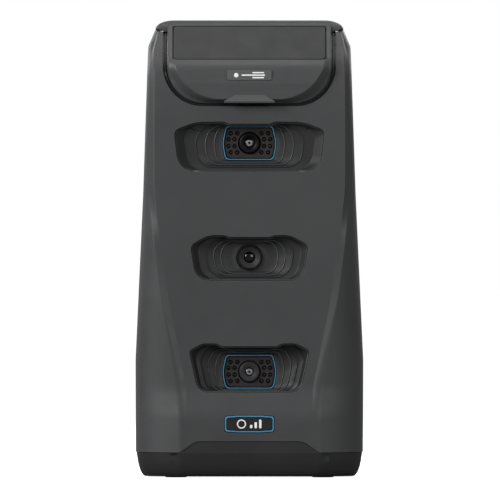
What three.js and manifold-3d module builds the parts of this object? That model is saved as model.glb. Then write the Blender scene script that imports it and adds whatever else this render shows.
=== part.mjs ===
// Portable launch monitor for indoor golf: a free-standing tower that watches the ball through
// three recessed camera windows. Two of the windows carry infrared LED arrays.
// Millimetres, +Z up, front facing -Y, origin at the middle of the footprint on the floor.

import * as THREE from 'three';
import { LoftGeometry } from 'three/addons/geometries/LoftGeometry.js';
import { mergeVertices } from 'three/addons/utils/BufferGeometryUtils.js';
import Module from 'manifold-3d';

const wasm = await Module();
wasm.setup();

// ---------------------------------------------------------------- driving dimensions

const HEIGHT = 312;
const DEPTH = 124;
const FRONT = -DEPTH / 2;
const REAR = DEPTH / 2;
const GAP = 0.3;              // clearance between touching pieces
const WALL = 2.6;             // moulded wall thickness
const PARTING = 6;            // depth at which the front and rear housings meet

const FOOT_PROUD = 0.8;       // rubber feet below the base skirt
const SKIRT_TOP = 17;         // top edge of the base skirt
const TAB_TOP = 24.6;         // top of the raised tab in the middle of the skirt's front
const TAB_HALF_TOP = 34.7;
const TAB_HALF_BOTTOM = 46.4;
const CAP_SEAM = 305.6;       // seam between the housing and the top cap
const RING_SEGMENTS = 20;
const FLANK_STEPS = 4;

// Shape of the shell against height: [height, value] pairs, straight between them.
const SIDE = [[17, 77.5], [80, 77.7], [192, 72.5], [286, 69.3], [293, 68.6], [305.6, 64.4]];
const CREASE = [[17, 38], [62, 38], [121, 50], [180, 58.6], [225, 64.1], [298, 64.8], [305.6, 60]];
const RIDGE = [[17, 47], [60, 47], [80, 51.3], [121, 59.9], [162, 65.3], [196, 69.2], [284, 67.9],
  [305.6, 62.6]];
const FACE = [[17, -62], [53, -62], [60, -55.6], [162, -57.4], [250, -53.8], [270, -51.8], [281, -47.6],
  [305.6, -26]];
const EDGE = [[17, -62], [60, -61.9], [121, -60.6], [162, -57.6], [196, -50.8], [250, -49.6], [270, -48],
  [281, -44], [305.6, -24]];
const SHOULDER = [[17, -51.5], [121, -51.5], [196, -48], [250, -46.6], [270, -45], [281, -41], [305.6, -22]];
const FLANK_END = [[17, -36], [80, -36], [162, -41], [250, -42.6], [281, -37], [305.6, -18]];
const BACK = [[17, 62], [240, 62], [281, 58.5], [305.6, 51]];
const BACK_CORNER = 18;       // plan radius of the rear vertical corners
const LEVELS = [17, 53, 60, 80, 100, 121, 141, 162, 180, 196, 225, 250, 270, 281, 293, 305.6];

// Hood that carries the panel and stands proud of the front
const HOOD_HALF = 56;
const HOOD_BOTTOM = 254.6;
const HOOD_FACE = -59;
const HOOD_CORNER = 25;
const HOOD_GROOVE = 2.7;
const LIP = { half: 14, top: 260.5, low: 255.6, front: -61.6 };   // fingertip lip under the hood
const PANEL_HALF = 52.1;
const PANEL_FOOT = [-53.2, 285];   // lower front edge of the sloping panel: depth, height
const PANEL_HEAD = [-25.5, 309.2]; // its upper rear edge
const PANEL_THICK = 1.6;

// Camera windows: optical centre height, depth of the face there, and the outline's corners
// as [half width, height above the optical centre, corner radius] from the top middle down.
const WINDOWS = [
  {
    name: 'upper', centre: 227.9, face: -54.6, lit: true,
    corners: [[13.7, 13, 1.5], [17, 14.3, 1.5], [32, 14.3, 10], [51.5, 7.2, 3.5], [45.4, -19.5, 7]],
  },
  {
    name: 'middle', centre: 150, face: -57.1, lit: false,
    corners: [[13.4, 13.8, 1.5], [17, 14.9, 1.5], [24, 14.9, 8], [40.5, 7.5, 4], [33.5, -15.6, 5]],
  },
  {
    name: 'lower', centre: 72, face: -55.8, lit: true,
    corners: [[18.2, 17.3, 1.5], [22, 19, 1.5], [33, 19.2, 5], [41.2, 15.2, 3.5], [32.8, -14, 5]],
  },
];
const BEZEL_DEPTH = 15;
const BEZEL_RIM = 1.3;
const LED_PLATE = { half: 18.1, halfHeight: 10.9, corner: 3 };
const LIGHT_RING = 0.9;       // width of the blue light line round each LED plate
const LED_ROWS = [[6.6, [12.8, 8.2]], [2.6, [14.2, 10.1]], [-2.1, [14.2, 10.1]], [-6.4, [12.8, 8.2]]];
const LED_RADIUS = 1.45;
const LENS_SEAT = 7.9;        // hole in the LED plate for the lens barrel
// Lens barrel: how far behind the face it starts, and the radii of its rim, bore, tube and flange
const LENS = {
  start: 9.4, litStart: 10.4, rim: 8.6, litRim: 6.9, bore: 4.4, tube: 7.4, tail: 6.4,
  flange: 10.5, flangeThick: 4.5,
};
const SPINE_FRONT = -24;
const SPINE_THICK = 3;

const BADGE = { centre: 36.6, half: 16.85, halfHeight: 5.3, bulge: 0.7, ring: 1.2 };
const BADGE_POCKET = 1.4;
const NAMEPLATE = { centre: 274, half: 15.1, halfHeight: 3.3 };

// Rear connections: a sunken bay with the sockets side by side, and the status light above
const PORT_BAY = { centre: 60, half: 36, halfHeight: 17, depth: 5 };
const PORT_FACE = REAR - PORT_BAY.depth;
const PORT_PANEL_THICK = 2.2;
const NETWORK_JACK = { left: -29.7, right: -13.7, low: 53.3, high: 66.7, depth: 16 };
const USB_PORT = { left: -6.6, right: 2.6, low: 58.5, high: 61.5, corner: 1.45, wall: 0.35, depth: 8 };
const DC_INLET = { at: [12, PORT_BAY.centre], radius: 4.3, bore: 2.9, pin: 0.9, depth: 10 };
const BUTTON = { at: [26, PORT_BAY.centre], radius: 4.6, collar: 6, proud: 3.6 };
const STATUS_LIGHT = { at: [26, 70], radius: 0.9 };

// Rear housing: two columns of vent slots, the rating label's pocket and the housing screws
const VENTS = { rows: 7, bottom: 186, pitch: 7, height: 2.6, inner: 3, outer: 40 };
const LABEL = { centre: 112, half: 27, halfHeight: 12, depth: 0.8 };
const SCREW_HOLE = 3.4;
const REAR_SCREWS = [[-50, 34], [50, 34], [-50, 250], [50, 250]];

// Base: fixed feet, plate screws, and the levelling foot with its thumb wheel
const FEET = {
  foot_front_left: [-50, -38], foot_front_right: [50, -38],
  foot_rear_left: [-50, 40], foot_rear_right: [50, 40],
};
const FOOT_RADIUS = 8;
const BASE_PLATE = { low: FOOT_PROUD + 1, thick: 2.6, inset: 8.8 };
const BASE_SCREWS = [[-30, -42], [30, -42], [-30, 40], [30, 40]];
const LEVELLER_AT = 44;
const WHEEL = { radius: 16, low: 5.8, high: 12 };
const WHEEL_SLOT = { low: 5.2, high: 12.6, depth: 16 };
const FOOT_STEM = 4;
const FOOT_PAD = 8.8;

// Boards inside, as the low and high corners of their boxes
const BOARDS = {
  main_board: [[-29, -8, 96], [29, -6.4, 264]],
  power_board: [[-29, 18, 82], [29, 19.6, 150]],
};
const ANTENNA = [[-22, -6, 275], [22, -4.8, 287]];
const SINK = { half: 28, low: 170, high: 262, front: -5.5, base: 3, depth: 14.5, pitch: 10.6, fin: 1.6 };
const SPINE = { half: 34, halfHeight: 128, centre: 154, flange: 3, flangeLow: 40, flangeHigh: 268 };
const SPINE_POSTS = [[-28, 110], [28, 110], [-28, 188], [28, 188]];

// ---------------------------------------------------------------- geometry helpers

function solidOf(geometry) {
  const bare = new THREE.BufferGeometry();
  bare.setAttribute('position', geometry.getAttribute('position'));
  bare.setIndex(geometry.getIndex());
  const welded = mergeVertices(bare, 1e-4);
  return new wasm.Manifold(new wasm.Mesh({
    numProp: 3,
    vertProperties: new Float32Array(welded.attributes.position.array),
    triVerts: new Uint32Array(welded.index.array),
  }));
}

function geometryOf(solid) {
  const mesh = solid.getMesh();
  const geometry = new THREE.BufferGeometry();
  geometry.setAttribute('position', new THREE.BufferAttribute(mesh.vertProperties, 3));
  geometry.setIndex(new THREE.BufferAttribute(mesh.triVerts, 1));
  geometry.computeVertexNormals();
  return geometry;
}

const join = (first, ...rest) => rest.reduce((sum, next) => sum.add(next), first);
const cut = (first, ...rest) => rest.reduce((left, next) => left.subtract(next), first);

function boxSolid(low, high) {
  const size = high.map((value, axis) => value - low[axis]);
  const middle = high.map((value, axis) => (value + low[axis]) / 2);
  return solidOf(new THREE.BoxGeometry(...size).translate(...middle));
}

// Value of a [height, value] list at a height, straight between its points.
function along(list, height) {
  const inside = THREE.MathUtils.clamp(height, list[0][0], list.at(-1)[0]);
  const next = Math.max(1, list.findIndex(([z]) => z >= inside));
  const [z0, v0] = list[next - 1];
  const [z1, v1] = list[next];
  return THREE.MathUtils.mapLinear(inside, z0, z1, v0, v1);
}

// Closed outline through [a, b, radius] corners, each rounded by an arc.
function filleted(corners, steps = 5) {
  const points = [];
  corners.forEach(([a, b, radius = 0], index) => {
    const corner = new THREE.Vector2(a, b);
    const before = corners[(index + corners.length - 1) % corners.length];
    const after = corners[(index + 1) % corners.length];
    const back = new THREE.Vector2(before[0], before[1]).sub(corner).normalize();
    const ahead = new THREE.Vector2(after[0], after[1]).sub(corner).normalize();
    const opening = back.angleTo(ahead);
    if (radius === 0 || Math.PI - opening < 0.02) {
      points.push([a, b]);
      return;
    }
    const turn = Math.sign(ahead.cross(back)) * (Math.PI - opening);
    const reach = radius / Math.tan(opening / 2);
    const centre = back.clone().add(ahead).setLength(radius / Math.sin(opening / 2)).add(corner);
    const start = back.clone().multiplyScalar(reach).add(corner).sub(centre);
    for (let step = 0; step <= steps; step += 1) {
      const arm = start.clone().rotateAround(new THREE.Vector2(), (turn * step) / steps);
      points.push([centre.x + arm.x, centre.y + arm.y]);
    }
  });
  return points;
}

// Counter-clockwise outline, seen from the front, from its right half listed from top to bottom.
function mirrored(rightHalf) {
  const leftHalf = rightHalf.map(([a, b, radius]) => [-a, b, radius]);
  return [...[...rightHalf].reverse(), ...leftHalf];
}

const roundedBox = (half, halfHeight, radius, centre = 0) =>
  filleted(mirrored([[half, centre + halfHeight, radius], [half, centre - halfHeight, radius]]), 4);

const shapeOf = (outline) => new THREE.Shape(outline.map(([a, b]) => new THREE.Vector2(a, b)));

// Prism of a front-view outline between two depths.
function slab(outline, front, back) {
  const geometry = new THREE.ExtrudeGeometry(shapeOf(outline), { depth: back - front, bevelEnabled: false });
  return solidOf(geometry.rotateX(Math.PI / 2).translate(0, back, 0));
}

// Prism of a side-view outline of [depth, height] points, from -half to half across.
function crossways(outline, half) {
  const geometry = new THREE.ExtrudeGeometry(shapeOf(outline), { depth: 2 * half, bevelEnabled: false });
  geometry.rotateX(Math.PI / 2).rotateZ(Math.PI / 2);
  return solidOf(geometry.translate(-half, 0, 0));
}

// Loft through front-view outlines, given as [depth, outline] from the rear to the front.
function funnel(stages) {
  const sections = stages.map(([y, outline]) => outline.map(([x, z]) => new THREE.Vector3(x, y, z)));
  return solidOf(new LoftGeometry(sections, { capStart: true, capEnd: true }));
}

// Loft through plan outlines, given as [height, outline] from the bottom to the top.
function tower(stages) {
  const sections = stages.map(([z, outline]) => outline.map(([x, y]) => new THREE.Vector3(x, y, z)));
  return solidOf(new LoftGeometry(sections, { capStart: true, capEnd: true }));
}

// Turned piece from [radius, distance] points, on an axis that points along +Z.
function turned(profile, segments = RING_SEGMENTS) {
  const points = profile.map(([radius, height]) => new THREE.Vector2(radius, height));
  return new THREE.LatheGeometry(points, segments).rotateX(Math.PI / 2);
}

// Turned piece whose distances run towards the rear, centred at a place on the front view.
function turnedToRear(profile, [x, z], segments = RING_SEGMENTS) {
  return solidOf(turned(profile, segments).rotateX(-Math.PI / 2).translate(x, 0, z));
}

function disc(radius, low, high, segments = RING_SEGMENTS) {
  return turned([[0, low], [radius, low], [radius, high], [0, high]], segments);
}

function discToRear(radius, front, back, at, segments = RING_SEGMENTS) {
  return turnedToRear([[0, front], [radius, front], [radius, back], [0, back]], at, segments);
}

const scaledTo = (outline, shareX, shareZ, centre) =>
  outline.map(([x, z]) => [x * shareX, centre + (z - centre) * shareZ]);

// ---------------------------------------------------------------- materials and assembly

const FINISH = {
  shell: { color: 0x434446, roughness: 0.55, metalness: 0 },
  cap: { color: 0x4b4c4e, roughness: 0.45, metalness: 0 },
  gloss: { color: 0x3c3d3f, roughness: 0.25, metalness: 0 },
  dark: { color: 0x232426, roughness: 0.5, metalness: 0 },
  black: { color: 0x0d0d0e, roughness: 0.3, metalness: 0 },
  rubber: { color: 0x151515, roughness: 0.9, metalness: 0 },
  glass: { color: 0x101316, roughness: 0.05, metalness: 0 },
  blue: { color: 0x4f8fae, roughness: 0.35, metalness: 0 },
  white: { color: 0xe8e8e8, roughness: 0.4, metalness: 0 },
  grey: { color: 0x6a6b6d, roughness: 0.4, metalness: 0.1 },
  aluminium: { color: 0xb4b6b8, roughness: 0.35, metalness: 0.9 },
  steel: { color: 0x55575a, roughness: 0.35, metalness: 0.9 },
  board: { color: 0x1d5a3a, roughness: 0.5, metalness: 0 },
  ribbon: { color: 0xc08a3c, roughness: 0.5, metalness: 0 },
};

const monitor = new THREE.Group();

function add(name, shape, finish) {
  const geometry = shape.isBufferGeometry ? geometryOf(solidOf(shape)) : geometryOf(shape);
  const mesh = new THREE.Mesh(geometry, new THREE.MeshStandardMaterial(FINISH[finish]));
  mesh.name = name;
  monitor.add(mesh);
  return mesh;
}

// ---------------------------------------------------------------- shell sections


// Right half of the front section at a height, from the middle to the parting plane.
function frontHalf(z, inset) {
  const side = along(SIDE, z) - inset;
  const ridge = Math.min(along(RIDGE, z), side - 0.8);
  const edge = along(EDGE, z) + inset;
  const shoulder = along(SHOULDER, z) + inset;
  const flank = new THREE.QuadraticBezierCurve(
    new THREE.Vector2(ridge, edge),
    new THREE.Vector2(side, shoulder),
    new THREE.Vector2(side, along(FLANK_END, z) + inset),
  );
  const crease = Math.min(along(CREASE, z), ridge - 1);
  return [[crease, along(FACE, z) + inset], ...flank.getPoints(FLANK_STEPS).map(({ x, y }) => [x, y])];
}

function frontSection(z, inset, parting) {
  const right = [...frontHalf(z, inset), [along(SIDE, z) - inset, parting]];
  const left = right.map(([x, y]) => [-x, y]).reverse();
  return [...left, ...right];
}

function rearSection(z, inset, parting) {
  const side = along(SIDE, z) - inset;
  const back = along(BACK, z) - inset;
  const radius = BACK_CORNER - inset;
  const right = [[side, parting]];
  for (let step = 0; step <= FLANK_STEPS; step += 1) {
    const angle = (Math.PI / 2) * (step / FLANK_STEPS);
    right.push([side - radius + radius * Math.cos(angle), back - radius + radius * Math.sin(angle)]);
  }
  const left = right.map(([x, y]) => [-x, y]).reverse();
  return [...right, ...left];
}

// Whole plan outline of the shell at a height.
function planSection(z, inset) {
  const front = frontHalf(z, inset);
  const rear = rearSection(z, inset, 0).slice(1, -1);
  const left = front.map(([x, y]) => [-x, y]).reverse();
  return [...left, ...front, ...rear];
}

const shellLevels = LEVELS.map((z) => Math.min(CAP_SEAM - GAP, Math.max(SKIRT_TOP + GAP, z)));
const cavityLevels = [SKIRT_TOP - 1, ...LEVELS.slice(1, -1), CAP_SEAM + 1];

// Raised tab of the skirt, which the front housing is notched for.
function tabOutline(clearance) {
  return [
    [-TAB_HALF_BOTTOM - clearance, SKIRT_TOP - 1],
    [TAB_HALF_BOTTOM + clearance, SKIRT_TOP - 1],
    [TAB_HALF_TOP + clearance, TAB_TOP + clearance],
    [-TAB_HALF_TOP - clearance, TAB_TOP + clearance],
  ];
}

// U-shaped outline of the hood, open towards the top.
function hoodOutline(half, bottom, corner, top = HEIGHT + 10) {
  return filleted(mirrored([[half, top, 0], [half, bottom, corner]]), 8);
}

const windowOutline = ({ corners, centre }, inset = 0) =>
  filleted(mirrored(corners.map(([x, z, r]) => [x, centre + z, r])), 3).map(([x, z]) => {
    const shareX = 1 - inset / corners[3][0];
    const shareZ = 1 - inset / 17;
    return [x * shareX, centre + (z - centre) * shareZ];
  });

// ---------------------------------------------------------------- housings

function frontHousing() {
  const outer = tower(shellLevels.map((z) => [z, frontSection(z, 0, PARTING - GAP / 2)]));
  const inner = tower(cavityLevels.map((z) => [z, frontSection(z, WALL, PARTING + 1)]));
  const hoodOpening = slab(
    hoodOutline(HOOD_HALF + HOOD_GROOVE, HOOD_BOTTOM - 2.2, HOOD_CORNER + 2), FRONT - 5, PARTING + 2);
  const windows = WINDOWS.map((window) => slab(windowOutline(window), FRONT - 5, window.face + BEZEL_DEPTH));
  const notch = slab(tabOutline(GAP), FRONT - 5, -40);
  const badge = slab(badgeOutline(GAP), FRONT - 1, FRONT + BADGE_POCKET + GAP);
  return cut(outer, inner, hoodOpening, ...windows, notch, badge);
}

function rearHousing() {
  const outer = tower(shellLevels.map((z) => [z, rearSection(z, 0, PARTING + GAP / 2)]));
  const inner = tower(cavityLevels.map((z) => [z, rearSection(z, WALL, PARTING - 1)]));
  const bay = PORT_BAY;
  const bayHole = slab(roundedBox(bay.half, bay.halfHeight, 4, bay.centre), REAR - 10, REAR + 1);
  const vents = [];
  for (let row = 0; row < VENTS.rows; row += 1) {
    for (const side of [-1, 1]) {
      const z = VENTS.bottom + row * VENTS.pitch;
      const ends = [side * VENTS.inner, side * VENTS.outer].sort((a, b) => a - b);
      vents.push(boxSolid([ends[0], REAR - 10, z], [ends[1], REAR + 1, z + VENTS.height]));
    }
  }
  const screwHoles = REAR_SCREWS.map((at) => discToRear(SCREW_HOLE, REAR - 10, REAR + 1, at, 12));
  const labelPocket = slab(roundedBox(LABEL.half + GAP, LABEL.halfHeight + GAP, 1.5, LABEL.centre),
    REAR - LABEL.depth, REAR + 1);
  return cut(outer, inner, bayHole, ...vents, ...screwHoles, labelPocket);
}

// ---------------------------------------------------------------- top cap, panel and nameplate

const slope = Math.atan2(PANEL_HEAD[1] - PANEL_FOOT[1], PANEL_HEAD[0] - PANEL_FOOT[0]);
const slopeLength = Math.hypot(PANEL_HEAD[1] - PANEL_FOOT[1], PANEL_HEAD[0] - PANEL_FOOT[0]);

// Slab that lies on the panel's slope, between two depths below its surface.
function onSlope(outline, above, below) {
  const settings = { depth: above + below, bevelEnabled: false };
  const geometry = new THREE.ExtrudeGeometry(shapeOf(outline), settings);
  geometry.translate(0, 0, -below).rotateX(slope).translate(0, PANEL_FOOT[0], PANEL_FOOT[1]);
  return solidOf(geometry);
}

function panelOutline(clearance) {
  const half = PANEL_HALF + clearance;
  return filleted([[-half, 0.8 - clearance, 2], [half, 0.8 - clearance, 2],
    [half, slopeLength - 0.8 + clearance, 2], [-half, slopeLength - 0.8 + clearance, 2]], 3);
}

function capSection(z) {
  const rise = Math.asin((z - CAP_SEAM) / (HEIGHT - CAP_SEAM + 0.001));
  const half = 51.5 + 12.7 * Math.cos(rise);
  const front = -17 - 8.8 * Math.cos(rise);
  const back = 44 + 6.8 * Math.cos(rise);
  return filleted([[-half, front, 3], [half, front, 3], [half, back, 17], [-half, back, 17]], 4);
}

function topCap() {
  const rows = [0, 0.3, 0.55, 0.8, 0.95, 1];
  const crown = tower(rows.map((share) => {
    const z = CAP_SEAM + GAP / 2 + (HEIGHT - CAP_SEAM - GAP / 2) * share;
    return [z, capSection(z)];
  }));
  const body = funnel([
    [-20, hoodOutline(HOOD_HALF, HOOD_BOTTOM, HOOD_CORNER)],
    [-53.5, hoodOutline(HOOD_HALF, HOOD_BOTTOM, HOOD_CORNER)],
    [-56.5, hoodOutline(HOOD_HALF - 1.8, HOOD_BOTTOM + 1, HOOD_CORNER - 1)],
    [HOOD_FACE - 1, hoodOutline(HOOD_HALF - 4.4, HOOD_BOTTOM + 3.2, HOOD_CORNER - 2)],
  ]);
  const profile = crossways([
    [-17, HEIGHT], PANEL_HEAD, PANEL_FOOT, [-56.4, 281], [HOOD_FACE, 270], [HOOD_FACE, HOOD_BOTTOM - 1],
    [-50.5, HOOD_BOTTOM - 1], [-48, 279], [-24, 303], [-12, 306], [-12, HEIGHT],
  ], HOOD_HALF + 1);
  const lip = crossways([
    [HOOD_FACE + 1, LIP.top], [LIP.front, LIP.low + 0.8], [LIP.front, LIP.low],
    [HOOD_FACE + 1, HOOD_BOTTOM + GAP],
  ], LIP.half);
  const hollow = boxSolid([-46, -8, CAP_SEAM - 1], [46, 38, HEIGHT - WALL]);
  const panelPocket = onSlope(panelOutline(GAP), 5, PANEL_THICK + 2 * GAP);
  const platePocket = slab(nameplateOutline(GAP), FRONT - 2, HOOD_FACE + 0.6);
  return cut(join(crown, body.intersect(profile), lip), hollow, panelPocket, platePocket);
}

const nameplateOutline = (clearance) =>
  roundedBox(NAMEPLATE.half + clearance, NAMEPLATE.halfHeight + clearance, 0.8, NAMEPLATE.centre);

// Badge outline: a rectangle whose top and bottom edges bulge a little.
function badgeOutline(clearance) {
  const half = BADGE.half + clearance;
  const high = BADGE.halfHeight + clearance;
  return filleted(mirrored([
    [half * 0.5, BADGE.centre + high + BADGE.bulge * 0.8, 0],
    [half, BADGE.centre + high, 1.7],
    [half, BADGE.centre - high, 1.7],
    [half * 0.5, BADGE.centre - high - BADGE.bulge * 0.8, 0],
  ]), 4);
}

// ---------------------------------------------------------------- base

// Plan outline of the skirt, smaller towards the floor.
const skirtSection = (inset) => planSection(SKIRT_TOP, inset);

function baseSkirt() {
  const outer = tower([
    [FOOT_PROUD, skirtSection(6)], [FOOT_PROUD + 1.4, skirtSection(4.6)], [6, skirtSection(2.8)],
    [11, skirtSection(1.4)], [SKIRT_TOP, skirtSection(0.5)],
  ]);
  const tab = slab(tabOutline(0), FRONT + 0.4, FRONT + WALL + 0.4);
  const inner = tower([[FOOT_PROUD - 1, skirtSection(8.4)], [SKIRT_TOP + 12, skirtSection(8.4)]]);
  const shelf = tower([[FOOT_PROUD + 6, skirtSection(WALL + 3)], [SKIRT_TOP + 1, skirtSection(WALL + 1)]]);
  const wheelSlot = boxSolid([-WHEEL.radius - 1, REAR - WHEEL_SLOT.depth, WHEEL_SLOT.low],
    [WHEEL.radius + 1, REAR + 2, WHEEL_SLOT.high]);
  return join(cut(outer, inner, shelf, wheelSlot), cut(tab, inner));
}

function basePlate() {
  const { low, thick, inset } = BASE_PLATE;
  const plateBody = tower([[low, skirtSection(inset)], [low + thick, skirtSection(inset)]]);
  const pockets = Object.values(FEET).map(([x, y]) =>
    plateDisc(FOOT_RADIUS + GAP, FOOT_PROUD, low + 1, x, y, 16));
  const screws = BASE_SCREWS.map(([x, y]) => plateDisc(2, 0, 6, x, y, 8));
  const heads = BASE_SCREWS.map(([x, y]) => plateDisc(3.4, 0, low + 1.1, x, y, 10));
  const shaft = plateDisc(FOOT_STEM + 2 * GAP, 0, 6, 0, LEVELLER_AT, 20);
  const pad = plateDisc(FOOT_PAD + 0.8, 0, low + 0.8, 0, LEVELLER_AT, 24);
  return cut(plateBody, ...pockets, ...screws, ...heads, shaft, pad);
}

const plateDisc = (radius, low, high, x, y, segments) =>
  solidOf(disc(radius, low, high, segments).translate(x, y, 0));

function levellingWheel() {
  const wheel = disc(WHEEL.radius, WHEEL.low, WHEEL.high, 36);
  const bore = disc(FOOT_STEM + 0.4, WHEEL.low - 1, WHEEL.high + 1, 20);
  return solidOf(wheel.translate(0, LEVELLER_AT, 0)).subtract(solidOf(bore.translate(0, LEVELLER_AT, 0)));
}

function levellingFoot() {
  return solidOf(turned([
    [0, 1.4], [FOOT_PAD, 1.4], [FOOT_PAD, 2.3], [FOOT_STEM, 2.3], [FOOT_STEM, 24], [0, 24],
  ], 20).translate(0, LEVELLER_AT, 0));
}

function levellingPad() {
  const profile = [[0, 0.2], [FOOT_PAD - 0.8, 0.2], [FOOT_PAD, 0.6], [FOOT_PAD, 1.1], [0, 1.1]];
  return solidOf(turned(profile, 20).translate(0, LEVELLER_AT, 0));
}

// ---------------------------------------------------------------- camera windows

function bezel(window) {
  const { centre, face, lit } = window;
  const back = face + BEZEL_DEPTH;
  const outer = funnel([
    [back, scaledTo(windowOutline(window, GAP), 0.8, 0.86, centre)],
    [face + 9, windowOutline(window, GAP)],
    [face + 0.6, windowOutline(window, GAP)],
  ]);
  const mouth = windowOutline(window, BEZEL_RIM);
  const wide = scaledTo(windowOutline(window, BEZEL_RIM), 0.86, 0.9, centre);
  const step = scaledTo(windowOutline(window, BEZEL_RIM), 0.72, 0.84, centre);
  const throat = scaledTo(windowOutline(window, BEZEL_RIM), 0.62, 0.8, centre);
  const cavity = funnel([[face + 11.4, throat], [face + 8.2, step], [face + 4.6, wide], [face - 1, mouth]]);
  const edge = LIGHT_RING + GAP;
  const seat = lit
    ? slab(roundedBox(LED_PLATE.half + edge, LED_PLATE.halfHeight + edge, 3.9, centre), face + 10, back + 1)
    : discToRear(9.2, face + 8, back + 1, [0, centre]);
  return cut(outer, cavity, seat);
}

function lightRing({ centre, face }) {
  const { half, halfHeight, corner } = LED_PLATE;
  const outline = roundedBox(half + LIGHT_RING, halfHeight + LIGHT_RING, corner + LIGHT_RING, centre);
  const outer = slab(outline, face + 11.8, face + 14.8);
  return outer.subtract(slab(roundedBox(half, halfHeight, corner, centre), face + 11, face + 16));
}

const ledPlaces = LED_ROWS.flatMap(([z, columns]) => columns.flatMap((x) => [[x, z], [-x, z]]));

function ledFaceplate({ centre, face }) {
  const { half, halfHeight, corner } = LED_PLATE;
  const body = slab(roundedBox(half - GAP, halfHeight - GAP, corner, centre), face + 12.2, face + 14);
  const holes = ledPlaces.map(([x, z]) => discToRear(LED_RADIUS, face + 11, face + 15, [x, centre + z], 8));
  return cut(body, ...holes, discToRear(LENS_SEAT, face + 11, face + 15, [0, centre]));
}

function ledBoard({ centre, face }) {
  const body = slab(roundedBox(24, 13.5, 2, centre), face + 15.4, face + 17);
  const leds = ledPlaces.map(([x, z]) =>
    discToRear(LED_RADIUS - GAP, face + 12.9, face + 15.9, [x, centre + z], 6));
  return cut(join(body, ...leds), discToRear(LENS_SEAT, face + 14, face + 18, [0, centre]));
}

function lensBarrel({ centre, face, lit }) {
  const start = face + (lit ? LENS.litStart : LENS.start);
  const rim = lit ? LENS.litRim : LENS.rim;
  const { bore, tube, flange, flangeThick, tail } = LENS;
  return turnedToRear([
    [bore, start + 1.5], [rim - 0.6, start], [rim, start + 0.6], [rim, start + 5], [tube, start + 5],
    [tube, SPINE_FRONT - flangeThick], [flange, SPINE_FRONT - flangeThick], [flange, SPINE_FRONT - GAP],
    [tail, SPINE_FRONT - GAP], [bore, start + 6], [bore, start + 1.5],
  ], [0, centre]);
}

function lensGlass({ centre, face, lit }) {
  const start = face + (lit ? LENS.litStart : LENS.start) + 2;
  const radius = LENS.bore - GAP;
  const bulge = [];
  for (let step = 0; step <= 4; step += 1) {
    const share = step / 4;
    bulge.push([radius * share, start + 1.2 * share * share]);
  }
  return turnedToRear([...bulge, [radius, start + 3], [0, start + 3]], [0, centre]);
}

function sensorBoard({ centre }) {
  const back = SPINE_FRONT + SPINE_THICK;
  const board = slab(roundedBox(15, 15, 1.5, centre), back + GAP, back + 2);
  const chip = boxSolid([-5, SPINE_FRONT + GAP, centre - 5], [5, back + 1, centre + 5]);
  return board.add(chip);
}

// ---------------------------------------------------------------- inside

function chassisSpine() {
  const { half, halfHeight, centre, flange, flangeLow, flangeHigh } = SPINE;
  const web = slab(roundedBox(half, halfHeight, 6, centre), SPINE_FRONT, SPINE_FRONT + SPINE_THICK);
  const flanges = [-half, half - flange].map((left) => boxSolid(
    [left, SPINE_FRONT, flangeLow], [left + flange, SPINE_FRONT + 14, flangeHigh]));
  const openings = WINDOWS.map((window) =>
    discToRear(LENS.tube + 0.8, SPINE_FRONT - 1, SPINE_FRONT + 4, [0, window.centre]));
  const posts = SPINE_POSTS.map((at) =>
    discToRear(3, along(FACE, at[1]) + WALL + GAP, SPINE_FRONT + 1, at, 10));
  return cut(join(web, ...flanges, ...posts), ...openings);
}

function heatSink() {
  const { half, low, high, front, base, depth, pitch, fin } = SINK;
  const fins = [];
  for (let left = -half + 0.7; left < half; left += pitch) {
    fins.push(boxSolid([left, front + base - 0.5, low], [left + fin, front + depth, high]));
  }
  return join(boxSolid([-half, front, low], [half, front + base, high]), ...fins);
}

// ---------------------------------------------------------------- rear connections

// Rounded outline of the USB socket, grown all round.
function usbOutline(grow) {
  const { left, right, low, high, corner } = USB_PORT;
  return filleted([
    [left - grow, low - grow, corner + grow], [right + grow, low - grow, corner + grow],
    [right + grow, high + grow, corner + grow], [left - grow, high + grow, corner + grow],
  ], 3);
}

function ioPanel() {
  const bay = PORT_BAY;
  const jack = NETWORK_JACK;
  const frame = slab(roundedBox(bay.half - GAP, bay.halfHeight - GAP, 4, bay.centre),
    PORT_FACE, PORT_FACE + PORT_PANEL_THICK);
  const through = [PORT_FACE - 1, PORT_FACE + 3];
  const openings = [
    boxSolid([jack.left - GAP, through[0], jack.low - GAP], [jack.right + GAP, through[1], jack.high + GAP]),
    slab(usbOutline(GAP), ...through),
    discToRear(DC_INLET.radius + GAP, ...through, DC_INLET.at),
    discToRear(BUTTON.radius + GAP, ...through, BUTTON.at),
    discToRear(STATUS_LIGHT.radius + GAP, ...through, STATUS_LIGHT.at, 10),
  ];
  return cut(frame, ...openings);
}

function ethernetJack() {
  const { left, right, low, high, depth } = NETWORK_JACK;
  const body = boxSolid([left, PORT_FACE - depth, low], [right, PORT_FACE + 1.6, high]);
  const socket = join(
    boxSolid([left + 2.1, PORT_FACE - depth + 4, low + 1.5], [right - 2.1, PORT_FACE + 2, high - 3.7]),
    boxSolid([left + 5.2, PORT_FACE - depth + 4, high - 4.7], [right - 5.2, PORT_FACE + 2, high - 1.5]),
  );
  return body.subtract(socket);
}

function usbPort() {
  const { left, right, depth, wall } = USB_PORT;
  const middle = PORT_BAY.centre;
  const shell = slab(usbOutline(0), PORT_FACE - depth, PORT_FACE + 1.6)
    .subtract(slab(usbOutline(-wall), PORT_FACE - depth + 1, PORT_FACE + 3));
  const tongue = boxSolid([left + 1.6, PORT_FACE - depth + 0.5, middle - 0.3],
    [right - 1.6, PORT_FACE - 0.6, middle + 0.3]);
  return shell.add(tongue);
}

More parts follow.
